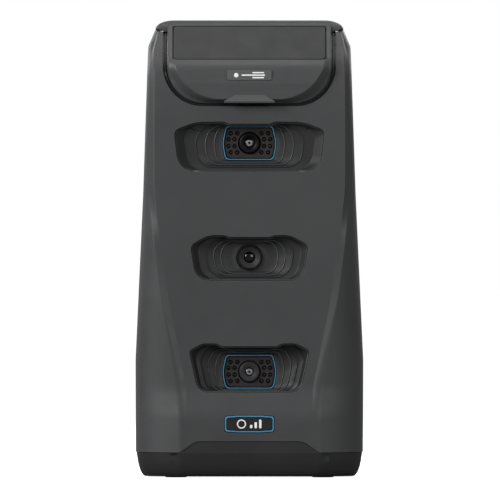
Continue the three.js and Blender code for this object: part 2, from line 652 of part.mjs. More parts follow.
function dcInlet() {
  const { at, radius, bore, pin, depth } = DC_INLET;
  return turnedToRear([
    [0, PORT_FACE - depth], [radius, PORT_FACE - depth], [radius, PORT_FACE + 1.4], [bore, PORT_FACE + 1.4],
    [bore, PORT_FACE - depth + 2], [pin, PORT_FACE - depth + 2], [pin, PORT_FACE - 1], [0, PORT_FACE - 1],
  ], at);
}

function powerButton() {
  const { at, radius, collar, proud } = BUTTON;
  return turnedToRear([
    [0, PORT_FACE - 3.4], [collar, PORT_FACE - 3.4], [collar, PORT_FACE - 2.2], [radius, PORT_FACE - 2.2],
    [radius, PORT_FACE + proud - 0.6], [radius - 0.6, PORT_FACE + proud], [0, PORT_FACE + proud - 0.3],
  ], at);
}

function statusLight() {
  const { at, radius } = STATUS_LIGHT;
  return turnedToRear([
    [0, PORT_FACE - 3], [radius, PORT_FACE - 3], [radius, PORT_FACE + PORT_PANEL_THICK],
    [0, PORT_FACE + PORT_PANEL_THICK + GAP],
  ], at, 10);
}

function rearScrew([x, z]) {
  const back = along(BACK, z);
  const head = turnedToRear([
    [0, back - 12], [1.5, back - 12], [1.5, back - 3.4], [2.9, back - 3.4], [2.9, back - 1.8],
    [2.2, back - 1.2], [0, back - 1.2],
  ], [x, z], 12);
  return head.subtract(discToRear(1.1, back - 2.4, back, [x, z], 6));
}

function baseScrew([x, y]) {
  const head = turned([[0, 1.9], [2.9, 1.9], [2.9, 2.6], [1.6, 2.6], [1.6, 11], [0, 11]], 12);
  return solidOf(head.translate(x, y, 0)).subtract(plateDisc(1.1, 1, 2.3, x, y, 6));
}

// ---------------------------------------------------------------- the assembly

add('front_housing', frontHousing(), 'shell');
add('rear_housing', rearHousing(), 'shell');
add('top_cap', topCap(), 'cap');
add('top_panel', onSlope(panelOutline(0), -0.4, PANEL_THICK + GAP), 'gloss');
add('nameplate', slab(nameplateOutline(0), HOOD_FACE - 0.1, HOOD_FACE + GAP), 'grey');
add('badge_ring', slab(badgeOutline(0), FRONT + 0.1, FRONT + 1)
  .subtract(slab(badgeOutline(-BADGE.ring), FRONT - 1, FRONT + 2)), 'blue');
add('badge_plate', slab(badgeOutline(-BADGE.ring - GAP), FRONT + 0.3, FRONT + 1.4), 'black');
add('base_skirt', baseSkirt(), 'dark');
add('base_plate', basePlate(), 'dark');

for (const [name, [x, y]] of Object.entries(FEET)) {
  const foot = turned([[0, 0], [FOOT_RADIUS - 1, 0], [FOOT_RADIUS, 0.8], [FOOT_RADIUS, 2.5], [0, 2.5]], 16);
  add(name, foot.translate(x, y, 0), 'rubber');
}
add('levelling_wheel', levellingWheel(), 'rubber');
add('levelling_foot', levellingFoot(), 'steel');
add('levelling_foot_pad', levellingPad(), 'rubber');

for (const window of WINDOWS) {
  add(`${window.name}_window_bezel`, bezel(window), 'dark');
  if (window.lit) {
    add(`${window.name}_light_ring`, lightRing(window), 'blue');
    add(`${window.name}_led_faceplate`, ledFaceplate(window), 'black');
    add(`${window.name}_led_board`, ledBoard(window), 'board');
  }
  add(`${window.name}_lens_barrel`, lensBarrel(window), 'black');
  add(`${window.name}_lens_glass`, lensGlass(window), 'glass');
  add(`${window.name}_sensor_board`, sensorBoard(window), 'board');
}

add('chassis_spine', chassisSpine(), 'aluminium');
add('heat_sink', heatSink(), 'aluminium');
for (const [name, [low, high]] of Object.entries(BOARDS)) {
  add(name, boxSolid(low, high), 'board');
}
add('wifi_antenna', boxSolid(...ANTENNA), 'ribbon');

add('io_panel', ioPanel(), 'dark');
add('ethernet_jack', ethernetJack(), 'steel');
add('usb_c_port', usbPort(), 'steel');
add('dc_inlet', dcInlet(), 'black');
add('power_button', powerButton(), 'dark');
add('status_light', statusLight(), 'white');

REAR_SCREWS.forEach((at, index) => add(`rear_screw_${index + 1}`, rearScrew(at), 'steel'));
BASE_SCREWS.forEach((at, index) => add(`base_screw_${index + 1}`, baseScrew(at), 'steel'));

export default monitor;
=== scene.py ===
"""Looks of the launch monitor: detailed meshes, procedural materials, stage, light and camera."""
import math

import bmesh
import bpy
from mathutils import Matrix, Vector


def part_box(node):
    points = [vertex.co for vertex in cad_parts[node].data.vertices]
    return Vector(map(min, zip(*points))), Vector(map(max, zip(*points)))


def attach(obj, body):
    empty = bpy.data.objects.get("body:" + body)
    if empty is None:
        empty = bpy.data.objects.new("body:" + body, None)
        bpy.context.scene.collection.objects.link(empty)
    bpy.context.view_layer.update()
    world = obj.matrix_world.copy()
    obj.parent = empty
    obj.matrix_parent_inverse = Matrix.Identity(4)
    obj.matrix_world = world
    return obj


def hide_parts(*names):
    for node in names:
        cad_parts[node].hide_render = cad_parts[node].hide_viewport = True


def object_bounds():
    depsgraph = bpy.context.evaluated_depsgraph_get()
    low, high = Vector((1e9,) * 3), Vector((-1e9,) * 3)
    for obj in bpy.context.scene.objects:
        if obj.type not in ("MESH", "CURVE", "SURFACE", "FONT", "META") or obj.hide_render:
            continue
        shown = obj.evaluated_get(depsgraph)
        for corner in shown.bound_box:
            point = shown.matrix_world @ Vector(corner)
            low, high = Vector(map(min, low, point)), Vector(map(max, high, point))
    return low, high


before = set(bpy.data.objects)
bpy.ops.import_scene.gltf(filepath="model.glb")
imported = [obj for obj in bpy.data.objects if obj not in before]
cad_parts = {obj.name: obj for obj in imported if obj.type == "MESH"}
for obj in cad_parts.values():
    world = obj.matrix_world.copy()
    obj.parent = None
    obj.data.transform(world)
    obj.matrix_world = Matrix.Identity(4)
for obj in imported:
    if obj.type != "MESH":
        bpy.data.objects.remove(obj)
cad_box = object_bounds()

# ------------------------------------------------------------------ driving dimensions (mm)

MM = 0.001
GAP = 0.3
WALL = 2.6


def spot(node):
    """Lowest and highest corners of a CAD node, in millimetres."""
    low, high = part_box(node)
    return low / MM, high / MM


LOW, HIGH = cad_box[0] / MM, cad_box[1] / MM
FRONT, REAR, HEIGHT = LOW.y, HIGH.y, HIGH.z
PARTING = (spot("front_housing")[1].y + spot("rear_housing")[0].y) / 2
SEAM = spot("front_housing")[1].z + GAP
SKIRT_TOP = spot("rear_housing")[0].z - GAP
SKIRT_BOTTOM = spot("base_skirt")[0].z
TAB_TOP = spot("base_skirt")[1].z

# Shape of the shell against height: [height, value] pairs, rounded off between them.
SIDE = [(17, 77.5), (80, 77.7), (192, 72.5), (294, 69.1), (SEAM, 64.3)]
CREASE = [(17, 43), (62, 43), (80, 46.8), (121, 55), (162, 61), (196, 65), (225, 65.2), (298, 64.8),
          (SEAM, 60)]
RIDGE = [(17, 47), (60, 47), (80, 51.3), (121, 59.9), (162, 65.3), (196, 69.2), (284, 67.9), (SEAM, 62.6)]
FACE = [(17, -62), (42, -62), (60, -58.2), (100, -57.8), (162, -57.4), (250, -53.8), (270, -51.8),
        (281, -47.6), (SEAM, -26)]
EDGE = [(17, -62), (42, -62), (60, -59.7), (121, -58.9), (162, -57.2), (196, -50.8), (250, -49.6), (270, -48),
        (281, -44), (SEAM, -24)]
SHOULDER = [(17, -51.5), (121, -51.5), (196, -48), (250, -46.6), (270, -45), (281, -41), (SEAM, -22)]
FLANK_END = [(17, -36), (80, -36), (162, -41), (250, -42.6), (281, -37), (SEAM, -18)]
BACK = [(17, 62), (240, 62), (281, 58.5), (SEAM, 51)]
BACK_CORNER = 18

HOOD_HALF, HOOD_GROOVE, HOOD_CORNER = 56, 2.7, 25
HOOD_BOTTOM = spot("top_cap")[0].z
HOOD_FACE = spot("nameplate")[0].y + 0.1
PANEL_FOOT, PANEL_HEAD = (-53.2, 285), (-25.5, 309.2)
PANEL_HALF = 52.1

# Window outlines: right half from the top middle down, as (half width, height over the lens, radius).
WINDOW_CORNERS = {
    "upper": [(13.7, 13, 1.5), (17.5, 14.5, 2), (37, 14.3, 36), (51.6, 8.5, 5), (48.2, -19.4, 12)],
    "middle": [(13.4, 13.8, 1.5), (17, 15, 2), (28, 15.2, 20), (40.3, 8.2, 5), (36.6, -16, 11)],
    "lower": [(18.2, 17.4, 1.5), (22.5, 19.3, 2), (32, 19.4, 11), (41.3, 14.4, 3.5), (35, -14.1, 9)],
}
WINDOW_CENTRE = {name: (spot(f"{name}_lens_glass")[0].z + spot(f"{name}_lens_glass")[1].z) / 2
                 for name in WINDOW_CORNERS}
WINDOW_FACE = {name: spot(f"{name}_window_bezel")[0].y - 0.6 for name in WINDOW_CORNERS}
PLATE_HALF, PLATE_HALF_HEIGHT = 18.1, 10.9
RING_WIDTH = 0.7
LED_ROWS = [(6.6, (12.8, 8.2)), (2.6, (14.2, 10.1)), (-2.1, (14.2, 10.1)), (-6.4, (12.8, 8.2))]
LED_PLACES = [(side * x, z) for z, columns in LED_ROWS for x in columns for side in (-1, 1)]

# In the profile of a turned body, TOP less a distance counts from the body's far end.
TOP = 1000

# ------------------------------------------------------------------ outlines


def along(profile, z, blur=5.0):
    """Value of a (height, value) list at a height, with its corners rounded over +-blur."""
    total = 0.0
    samples = [z + blur * share / 4 for share in range(-4, 5)]
    for height in samples:
        index = 1
        while index < len(profile) - 1 and profile[index][0] < height:
            index += 1
        (z0, v0), (z1, v1) = profile[index - 1], profile[index]
        total += v0 + (v1 - v0) * max(height - z0, 0) / (z1 - z0)
    return total / len(samples)


def between(start, end, share):
    """Point or corner part of the way between two others."""
    return tuple(a + (b - a) * share for a, b in zip(start, end))


def arc(centre, radius, start, sweep, steps):
    """Points of an arc round a centre, with its angles in radians."""
    angles = [start + sweep * step / steps for step in range(steps + 1)]
    return [(centre[0] + radius * math.cos(angle), centre[1] + radius * math.sin(angle)) for angle in angles]


STRAIGHT, STRAIGHT_SPREAD, SHARPEST = 0.02, 0.08, 1e-4


def filleted(corners, steps=8, closed=True):
    """Points through (a, b, radius) corners, each rounded by an arc of steps + 1 points."""
    points = []
    last = len(corners) - 1
    for index, corner in enumerate(corners):
        place = Vector(corner[:2])
        radius = corner[2] if len(corner) > 2 else 0
        if not closed and index in (0, last):
            points.append(tuple(place))
            continue
        back = (Vector(corners[index - 1][:2]) - place).normalized()
        ahead = (Vector(corners[(index + 1) % len(corners)][:2]) - place).normalized()
        if radius == 0:
            points.append(tuple(place))
            continue
        opening = max(back.angle(ahead), SHARPEST)
        bend = math.pi - opening
        if bend < STRAIGHT:
            for step in range(steps + 1):
                side = back if step < steps / 2 else ahead
                points.append(tuple(place + side * abs(step - steps / 2) * STRAIGHT_SPREAD))
            continue
        reach = radius / math.tan(opening / 2)
        centre = place + (back + ahead).normalized() * (radius / math.sin(opening / 2))
        arm = place + back * reach - centre
        turn = math.copysign(bend, ahead.x * back.y - ahead.y * back.x)
        for step in range(steps + 1):
            angle = turn * step / steps
            points.append((centre.x + arm.x * math.cos(angle) - arm.y * math.sin(angle),
                           centre.y + arm.x * math.sin(angle) + arm.y * math.cos(angle)))
    return points


def mirrored(right_half):
    """Counter-clockwise closed corner list from its right half, listed from top to bottom."""
    left_half = [(-corner[0], *corner[1:]) for corner in right_half]
    return list(reversed(right_half)) + left_half


def rounded_box(half, half_height, radius, centre=0.0, across=0.0, steps=8):
    corners = mirrored([(half, centre + half_height, radius), (half, centre - half_height, radius)])
    return [(a + across, b) for a, b in filleted(corners, steps)]


def outset(outline, distance):
    """The same outline moved outwards by a small distance."""
    moved = []
    for index, point in enumerate(outline):
        before, after = Vector(outline[index - 1]), Vector(outline[(index + 1) % len(outline)])
        tangent = (after - before).normalized()
        moved.append((point[0] + tangent.y * distance, point[1] - tangent.x * distance))
    return moved


def subdivided(outline, longest):
    """The same closed outline with its long sides cut into short ones."""
    points = []
    for index, start in enumerate(outline):
        end = outline[(index + 1) % len(outline)]
        parts = max(1, math.ceil(math.dist(start, end) / longest))
        points += [between(start, end, part / parts) for part in range(parts)]
    return points


def both_sides(right):
    """Outline or section from its right half, which is listed from one end of the middle to the other."""
    return right + [(-x, other) for x, other in reversed(right)]


def middle(node):
    """Centre and half size of a CAD node as seen from the front."""
    low, high = spot(node)
    return (low.x + high.x) / 2, (low.z + high.z) / 2, (high.x - low.x) / 2, (high.z - low.z) / 2


def around(node, grow, radius, steps=8, taller=0.0):
    """Rounded outline of a CAD node as seen from the front, grown by a small distance."""
    x, z, half, half_height = middle(node)
    return rounded_box(half + grow, half_height + grow + taller, radius, z, x, steps)


# ------------------------------------------------------------------ meshes


def loft(rings):
    """Closed body through rings of equal length, capped at both ends."""
    count = len(rings[0])
    vertices = [point for ring in rings for point in ring]
    faces = [tuple(range(count))]
    for row in range(len(rings) - 1):
        low, high = row * count, (row + 1) * count
        for column in range(count):
            after = (column + 1) % count
            faces.append((low + column, low + after, high + after, high + column))
    faces.append(tuple(range((len(rings) - 1) * count, len(rings) * count)))
    return vertices, faces


def turned(profile, centre, segments=64):
    """Turned body from (radius, depth) points, on an axis that runs along +Y through (x, z)."""
    vertices, rows, faces = [], [], []
    for radius, depth in profile:
        ring = segments if radius > 0 else 1
        rows.append(range(len(vertices), len(vertices) + ring))
        for step in range(ring):
            angle = math.tau * step / segments
            x, z = centre[0] + radius * math.cos(angle), centre[1] + radius * math.sin(angle)
            vertices.append((x, depth, z))
    for low, high in zip(rows, rows[1:] + rows[:1]):
        if len(low) == 1 and len(high) == 1:
            continue
        for step in range(segments):
            after = (step + 1) % segments
            corners = [row[place % len(row)]
                       for row, place in ((low, step), (low, after), (high, after), (high, step))]
            faces.append(tuple(dict.fromkeys(corners)))
    return vertices, faces


def upright(profile, centre, segments=64):
    """Turned body from (radius, height) points, on a vertical axis through (x, y)."""
    vertices, faces = turned(profile, (0, 0), segments)
    return [(centre[0] + x, centre[1] + z, y) for x, y, z in vertices], faces


def revolved(node, profile, segments=64, vertical=False):
    """Turned body on the axis of a CAD node, from (radius, distance from the node's near end) points."""
    low, high = spot(node)
    along_axis, across = (2, 1) if vertical else (1, 2)
    placed = [(radius, high[along_axis] + (reach - TOP) if reach > TOP / 2 else low[along_axis] + reach)
              for radius, reach in profile]
    centre = ((low.x + high.x) / 2, (low[across] + high[across]) / 2)
    return (upright if vertical else turned)(placed, centre, segments)


SOFT_STEPS = 3


def prism(outline, back, front, soften, place):
    """Prism between two depths with a rounded front edge, where place puts (a, b, depth) into space."""
    rings = [[place(a, b, back) for a, b in outline]]
    for step in range(SOFT_STEPS + 1 if soften else 1):
        angle = math.pi / 2 * step / SOFT_STEPS
        depth = front + math.copysign(soften, back - front) * (1 - math.sin(angle))
        rings.append([place(a, b, depth) for a, b in outset(outline, -soften * (1 - math.cos(angle)))])
    return loft(rings)


def slab(outline, front, back, soften=0.0):
    """Prism of a front-view outline between two depths."""
    return prism(outline, back, front, soften, lambda x, z, y: (x, y, z))


def plate(outline, low, high):
    """Prism of a plan outline between two heights."""
    return loft([[(x, y, low) for x, y in outline], [(x, y, high) for x, y in outline]])


def box_mesh(low, high):
    outline = [(low[0], low[1]), (high[0], low[1]), (high[0], high[1]), (low[0], high[1])]
    return plate(outline, low[2], high[2])


def joined(*meshes):
    vertices, faces = [], []
    for points, polygons in meshes:
        start = len(vertices)
        vertices += points
        faces += [tuple(start + index for index in polygon) for polygon in polygons]
    return vertices, faces


def to_object(name, mesh):
    """Blender object from (vertices, faces) in millimetres, with its normals facing out."""
    vertices, faces = mesh
    data = bpy.data.meshes.new(name)
    data.from_pydata([Vector(point) * MM for point in vertices], [], faces)
    work = bmesh.new()
    work.from_mesh(data)
    bmesh.ops.recalc_face_normals(work, faces=work.faces)
    work.to_mesh(data)
    work.free()
    thing = bpy.data.objects.new(name, data)
    bpy.context.scene.collection.objects.link(thing)
    return thing


def settle(thing):
    """Applies an object's modifiers to its mesh."""
    graph = bpy.context.evaluated_depsgraph_get()
    result = bpy.data.meshes.new_from_object(thing.evaluated_get(graph))
    thing.modifiers.clear()
    thing.data = result
    return thing


def carve(thing, cutters, operation="DIFFERENCE"):
    """Cuts (or keeps, or adds) the bodies in cutters, which don't touch each other."""
    tool = to_object("cutter", joined(*cutters))
    step = thing.modifiers.new("carve", "BOOLEAN")
    step.operation, step.solver, step.object = operation, "EXACT", tool
    settle(thing)
    bpy.data.objects.remove(tool)
    return thing


BEVEL_SEGMENTS, BEVEL_ANGLE = 3, math.radians(35)


def bevelled(thing, width):
    step = thing.modifiers.new("bevel", "BEVEL")
    step.width, step.segments, step.limit_method = width * MM, BEVEL_SEGMENTS, "ANGLE"
    step.angle_limit = BEVEL_ANGLE
    return settle(thing)


SAME_POINT = 1e-6


def finished(thing, material, node=None, slot=None, body="root", sharp=32):
    """Shades a piece, gives it its material and says what it rides on and stands for."""
    work = bmesh.new()
    work.from_mesh(thing.data)
    bmesh.ops.remove_doubles(work, verts=work.verts, dist=SAME_POINT)
    bmesh.ops.dissolve_degenerate(work, edges=work.edges, dist=SAME_POINT)
    bmesh.ops.recalc_face_normals(work, faces=work.faces)
    work.to_mesh(thing.data)
    work.free()
    thing.data.shade_smooth()
    thing.data.set_sharp_from_angle(angle=math.radians(sharp))
    thing.modifiers.new("normals", "WEIGHTED_NORMAL").keep_sharp = True
    thing.data.materials.clear()
    thing.data.materials.append(material)
    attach(thing, body)
    if node:
        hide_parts(node)
    return thing


def piece(name, mesh, material, node=None, **how):
    return finished(to_object(name, mesh), material, node, **how)


def hoop(name, outer, inner, front, back, soften):
    """Frame between two front-view outlines."""
    return carve(to_object(name, slab(outer, front, back, soften)), [slab(inner, front - 1, back + 1)])


# ------------------------------------------------------------------ materials

CONVEX = (0.52, 0.6)
MOTTLE_SCALE, SMEAR_SCALE, HAZE_SCALE, DUST_SCALE, BRUSH_SCALE, TRACK_SCALE = 22, 90, 160, 70, 260, 180
GRAIN_DEPTH, FINE_DEPTH, COARSE_DEPTH = 0.00008, 0.00005, 0.0001


class Look:
    """A material in the making: its nodes, its shader and the object's own coordinates."""

    def __init__(self, name):
        self.made = bpy.data.materials.new(name)
        self.made.use_nodes = True
        self.nodes, self.links = self.made.node_tree.nodes, self.made.node_tree.links
        self.shader = self.nodes["Principled BSDF"]
        self.place = self.nodes.new("ShaderNodeTexCoord").outputs["Object"]

    def node(self, kind, source=None, socket="Vector", **values):
        """New node with a source linked to one socket and constants on others (_ stands for a space)."""
        made = self.nodes.new(f"ShaderNode{kind}")
        if source is not None:
            self.links.new(source, made.inputs[socket])
        for name, value in values.items():
            made.inputs[name.replace("_", " ")].default_value = value
        return made

    def wire(self, **sources):
        """Links values to the shader's inputs."""
        for name, source in sources.items():
            self.links.new(source, self.shader.inputs[name.replace("_", " ")])

    def fix(self, **values):
        """Sets constant values on the shader's own inputs."""
        for name, value in values.items():
            self.shader.inputs[name.replace("_", " ")].default_value = value

    def noise(self, scale, detail=3.0, roughness=0.5):
        texture = self.node("TexNoise", self.place, Scale=scale, Detail=detail, Roughness=roughness)
        return texture.outputs["Fac"]

    def ramp(self, source, low, high, start=0.3, end=0.7):
        """Maps a 0-1 value to the span between two colours."""
        made = self.node("ValToRGB", source, "Fac")
        for stop, position, colour in zip(made.color_ramp.elements, (start, end), (low, high)):
            stop.position, stop.color = position, (*colour, 1)
        return made.outputs["Color"]

    def span(self, source, low, high, start=0.3, end=0.7):
        """Maps a 0-1 value to a plain number between low and high."""
        values = {"From_Min": start, "From_Max": end, "To_Min": low, "To_Max": high}
        return self.node("MapRange", source, "Value", **values).outputs["Result"]

    def lighter_edges(self, colour, worn_and_highlight, strength):
        """Mixes in a paler colour where the mesh is sharply convex: partly edge wear, partly a painted edge
        highlight.
        """
        convex = self.node("NewGeometry").outputs["Pointiness"]
        mix = self.node("Mix")
        mix.data_type = "RGBA"
        self.links.new(self.span(convex, 0.0, strength, *CONVEX), mix.inputs["Factor"])
        self.links.new(colour, mix.inputs["A"])
        mix.inputs["B"].default_value = (*worn_and_highlight, 1)
        return mix.outputs["Result"]

    def bump(self, height, strength, distance):
        made = self.node("Bump", height, "Height", Strength=strength, Distance=distance)
        self.wire(Normal=made.outputs["Normal"])


def tinted(colour, share):
    return tuple(min(1.0, channel * share) for channel in colour)


def moulded(name, colour, roughness=0.5, grain=1500, bump=0.25, wear_and_highlight=0.35, specular=0.5, paler=1.6):
    """Moulded plastic: fine spark-eroded grain, faint mottling and slightly paler edges, which are partly
    wear and partly a painted highlight.
    """
    look = Look(name)
    base = look.ramp(look.noise(MOTTLE_SCALE, 4), tinted(colour, 0.95), tinted(colour, 1.05))
    look.wire(Base_Color=look.lighter_edges(base, tinted(colour, paler), wear_and_highlight),
              Roughness=look.span(look.noise(SMEAR_SCALE), roughness - 0.05, roughness + 0.05))
    look.bump(look.noise(grain, 2.5, 0.6), bump, GRAIN_DEPTH)
    look.fix(Specular_IOR_Level=specular)
    return look.made


def metal(name, colour, roughness, stretch=(1, 1, 30)):
    """Brushed or machined metal: fine lines along one direction."""
    look = Look(name)
    stretched = look.node("Mapping", look.place, Scale=stretch).outputs["Vector"]
    lines = look.node("TexNoise", stretched, Scale=BRUSH_SCALE).outputs["Fac"]
    look.wire(Base_Color=look.ramp(lines, tinted(colour, 0.85), colour),
              Roughness=look.span(lines, roughness, roughness + 0.15))
    look.bump(lines, 0.15, FINE_DEPTH)
    look.fix(Metallic=1)
    return look.made


def rubber(name, colour):
    look = Look(name)
    dust = look.noise(DUST_SCALE, 5)
    look.wire(Base_Color=look.ramp(dust, colour, tinted(colour, 1.8)), Roughness=look.span(dust, 0.75, 0.9))
    look.bump(look.noise(2200, 2), 0.3, COARSE_DEPTH)
    return look.made


def glossy(name, colour, roughness, coat=0.0, emission=None, strength=0.0):
    """Smooth plastic or coated glass: faint smears in its gloss, and a glow if it is lit; on the white print
    that glow is painted light.
    """
    look = Look(name)
    haze = look.noise(HAZE_SCALE)
    look.wire(Base_Color=look.ramp(haze, tinted(colour, 0.92), tinted(colour, 1.08)),
              Roughness=look.span(haze, roughness * 0.8, roughness * 1.2))
    look.bump(look.noise(400, 2), 0.03, FINE_DEPTH)
    look.fix(Coat_Weight=coat, Coat_Roughness=0.05)
    if emission:
        look.fix(Emission_Color=(*emission, 1), Emission_Strength=strength)
    return look.made


def circuit(name, colour):
    """Solder-masked board: tracks as thin lighter lines and small pads."""
    look = Look(name)
    cells = look.node("TexVoronoi", look.place, Scale=TRACK_SCALE)
    cells.feature = "DISTANCE_TO_EDGE"
    edge = cells.outputs["Distance"]
    look.wire(Base_Color=look.ramp(edge, tinted(colour, 2.2), colour, 0.02, 0.06),
              Roughness=look.span(look.noise(300), 0.3, 0.5))
    look.bump(edge, 0.2, COARSE_DEPTH)
    return look.made


SHELL = moulded("shell_plastic", (0.049, 0.050, 0.052), 0.5)
SEAL = moulded("seal_black", (0.02, 0.02, 0.021), 0.28, grain=2600, bump=0.05)
CAP = moulded("cap_plastic", (0.058, 0.059, 0.061), 0.48)
SKIRT = moulded("skirt_plastic", (0.021, 0.021, 0.022), 0.5, specular=0.4)
# Window bezel: strongly paler convex edges, a painted highlight along its steps and rim.
BEZEL = moulded("bezel_plastic", (0.024, 0.0245, 0.0255), 0.5, wear_and_highlight=0.8, specular=0.35, paler=3.0)
PORTS = moulded("port_plastic", (0.015, 0.015, 0.016), 0.45)
# Paler copy of the bezel plastic for the tread noses: a painted highlight.
BEZEL_NOSE_HIGHLIGHT = moulded("bezel_painted_highlight", (0.075, 0.077, 0.08), 0.5, wear_and_highlight=0.2)
PANEL = moulded("panel_plastic", (0.028, 0.0285, 0.029), 0.5, grain=2600, bump=0.08, specular=0.4)
NAMEPLATE = moulded("nameplate_plastic", (0.11, 0.11, 0.112), 0.35, grain=2600, bump=0.08)
PLATE = moulded("led_plate_plastic", (0.024, 0.021, 0.020), 0.35, grain=2600, bump=0.08)
BARREL = moulded("barrel_black", (0.004, 0.004, 0.005), 0.5, grain=2600, bump=0.05, wear_and_highlight=0.3, specular=0.2)
BARREL_GREY = moulded("barrel_grey", (0.034, 0.034, 0.037), 0.55, grain=2600, bump=0.05, wear_and_highlight=0.2,
                      specular=0.25)
BUTTON = moulded("button_plastic", (0.03, 0.03, 0.032), 0.35)
RUBBER = rubber("foot_rubber", (0.012, 0.012, 0.012))
LED = glossy("led_epoxy", (0.006, 0.0035, 0.003), 0.3)
GLASS = glossy("lens_coating", (0.003, 0.003, 0.004), 0.3)
BARE_GLASS = glossy("lens_bare", (0.002, 0.002, 0.003), 0.07)
# Pale grey ring in the upper and lower lenses: a painted glint.
GLARE = glossy("lens_painted_glint_ring", (0.24, 0.24, 0.25), 0.3, coat=0.3)
BLUE = glossy("light_guide_blue", (0.06, 0.22, 0.35), 0.3, emission=(0.08, 0.36, 0.60), strength=0.16)
DEEP_BLUE = glossy("light_guide_edge", (0.012, 0.045, 0.075), 0.35, emission=(0.02, 0.10, 0.18),
                   strength=0.08)
# White print with a faint glow: the white is its own colour, the glow is painted light.
GLOWING_WHITE = glossy("mark_white_glowing", (0.9, 0.9, 0.9), 0.35, emission=(1, 1, 1), strength=0.12)
BADGE = glossy("badge_black", (0.018, 0.018, 0.020), 0.22, coat=0.3)
ALUMINIUM = metal("milled_aluminium", (0.62, 0.63, 0.65), 0.3)
STEEL = metal("dark_steel", (0.16, 0.16, 0.17), 0.32, stretch=(1, 12, 12))
PLATED = metal("plated_shell", (0.55, 0.55, 0.56), 0.25, stretch=(1, 20, 1))
GOLD = metal("gold_contacts", (0.85, 0.62, 0.25), 0.2)
BOARD = circuit("solder_mask", (0.012, 0.075, 0.035))
DARK_BOARD = circuit("black_solder_mask", (0.008, 0.008, 0.009))
FILM = glossy("antenna_film", (0.45, 0.25, 0.07), 0.35)
LABEL = moulded("label_foil", (0.10, 0.10, 0.105), 0.4, grain=2600, bump=0.05)

# ------------------------------------------------------------------ shell sections

CENTRE_COLUMNS = 12
FLANK_STEPS = 14
SIDE_COLUMNS = 8


def spaced(start, end, step):
    parts = max(1, round((end - start) / step))
    return [start + (end - start) * part / parts for part in range(parts)]


LEVELS = (spaced(SKIRT_TOP + GAP, 41, 3) + spaced(41, 65, 1.2) + spaced(65, 244, 3) + spaced(244, 290, 2)
          + spaced(290, 297, 0.8) + spaced(297, SEAM - GAP, 2) + [SEAM - GAP])


def arc_between(start, corner, end, radius, steps=6):
    """Points that round a corner between two neighbours."""
    return filleted([start, (*corner, radius), end], steps, closed=False)[1:-1]


SIDE_BLUR, BACK_BLUR, FACE_BLUR, LOW_FACE_BLUR, LOW_EDGE_BLUR, LOW_END = 1.2, 8, 7, 4, 3, 100
RIDGE_FROM_SIDE, CREASE_FROM_RIDGE = 0.8, 1.2
FOOT_RADIUS, FOOT_GROWTH, FULL_PROUD = 1.2, 4.0, 3
CREST_RADIUS, CREST_GROWTH, CREST_END, CREST_SPAN = 1.3, 9, 115, 55


def front_half(z, inset=0.0, parting=None):
    """Right half of the front section at a height, from the middle to the parting plane."""
    side = along(SIDE, z, SIDE_BLUR) - inset
    ridge = min(along(RIDGE, z), side - RIDGE_FROM_SIDE)
    crease = min(along(CREASE, z), ridge - CREASE_FROM_RIDGE)
    face = along(FACE, z, LOW_FACE_BLUR if z < LOW_END else FACE_BLUR) + inset
    edge = along(EDGE, z, LOW_EDGE_BLUR if z < LOW_END else FACE_BLUR) + inset
    shoulder = along(SHOULDER, z) + inset
    flank_end = along(FLANK_END, z) + inset
    foot_radius = FOOT_RADIUS + FOOT_GROWTH * min(1.0, max(0.0, face - edge) / FULL_PROUD)
    foot = arc_between((0, face), (crease, face), (ridge, edge), min(foot_radius, (ridge - crease) * 1.2))
    crest_radius = CREST_RADIUS + CREST_GROWTH * min(1.0, max(0.0, (CREST_END - z) / CREST_SPAN))
    crest = arc_between((crease, face), (ridge, edge), (side, shoulder), crest_radius)
    points = [(foot[0][0] * column / CENTRE_COLUMNS, face) for column in range(CENTRE_COLUMNS)] + foot
    points += [between(foot[-1], crest[0], share) for share in (0.33, 0.67)] + crest
    bend, end = (side, shoulder), (side, flank_end)
    for step in range(1, FLANK_STEPS + 1):
        share = step / FLANK_STEPS
        points.append(between(between(crest[-1], bend, share), between(bend, end, share), share))
    if parting is not None:
        points += [between(end, (side, parting), column / SIDE_COLUMNS)
                   for column in range(1, SIDE_COLUMNS + 1)]
    return points


def rear_half(z, inset=0.0, parting=None):
    """Right half of the rear section at a height, from the parting plane to the middle."""
    side = along(SIDE, z, SIDE_BLUR) - inset
    back = along(BACK, z, BACK_BLUR) - inset
    radius = BACK_CORNER - inset
    points = []
    if parting is not None:
        points = [between((side, parting), (side, back - radius), column / SIDE_COLUMNS)
                  for column in range(SIDE_COLUMNS)]
    points += arc((side - radius, back - radius), radius, 0, math.pi / 2, FLANK_STEPS)
    return points + [between((side - radius, back), (0, back), column / CENTRE_COLUMNS)
                     for column in range(1, CENTRE_COLUMNS + 1)]


def front_section(z, inset, parting):
    right = front_half(z, inset, parting)
    return [(-x, y) for x, y in reversed(right[1:])] + right


def rear_section(z, inset, parting):
    right = rear_half(z, inset, parting)
    return right + [(-x, y) for x, y in reversed(right[:-1])]


def plan_section(z, inset):
    front, rear = front_half(z, inset), rear_half(z, inset)
    left_front = [(-x, y) for x, y in reversed(front[1:])]
    left_rear = [(-x, y) for x, y in reversed(rear[:-1])]
    return left_front + front + rear + left_rear


def front_depth(x, z):
    """Depth of the front surface at a place on the front view."""
    points = front_half(z)
    reach = abs(x)
    for (x0, y0), (x1, y1) in zip(points, points[1:]):
        if x0 <= reach <= x1 and x1 > x0:
            return y0 + (y1 - y0) * (reach - x0) / (x1 - x0)
    return points[-1][1]


def tower(levels, section):
    return loft([[(x, y, z) for x, y in section(z)] for z in levels])


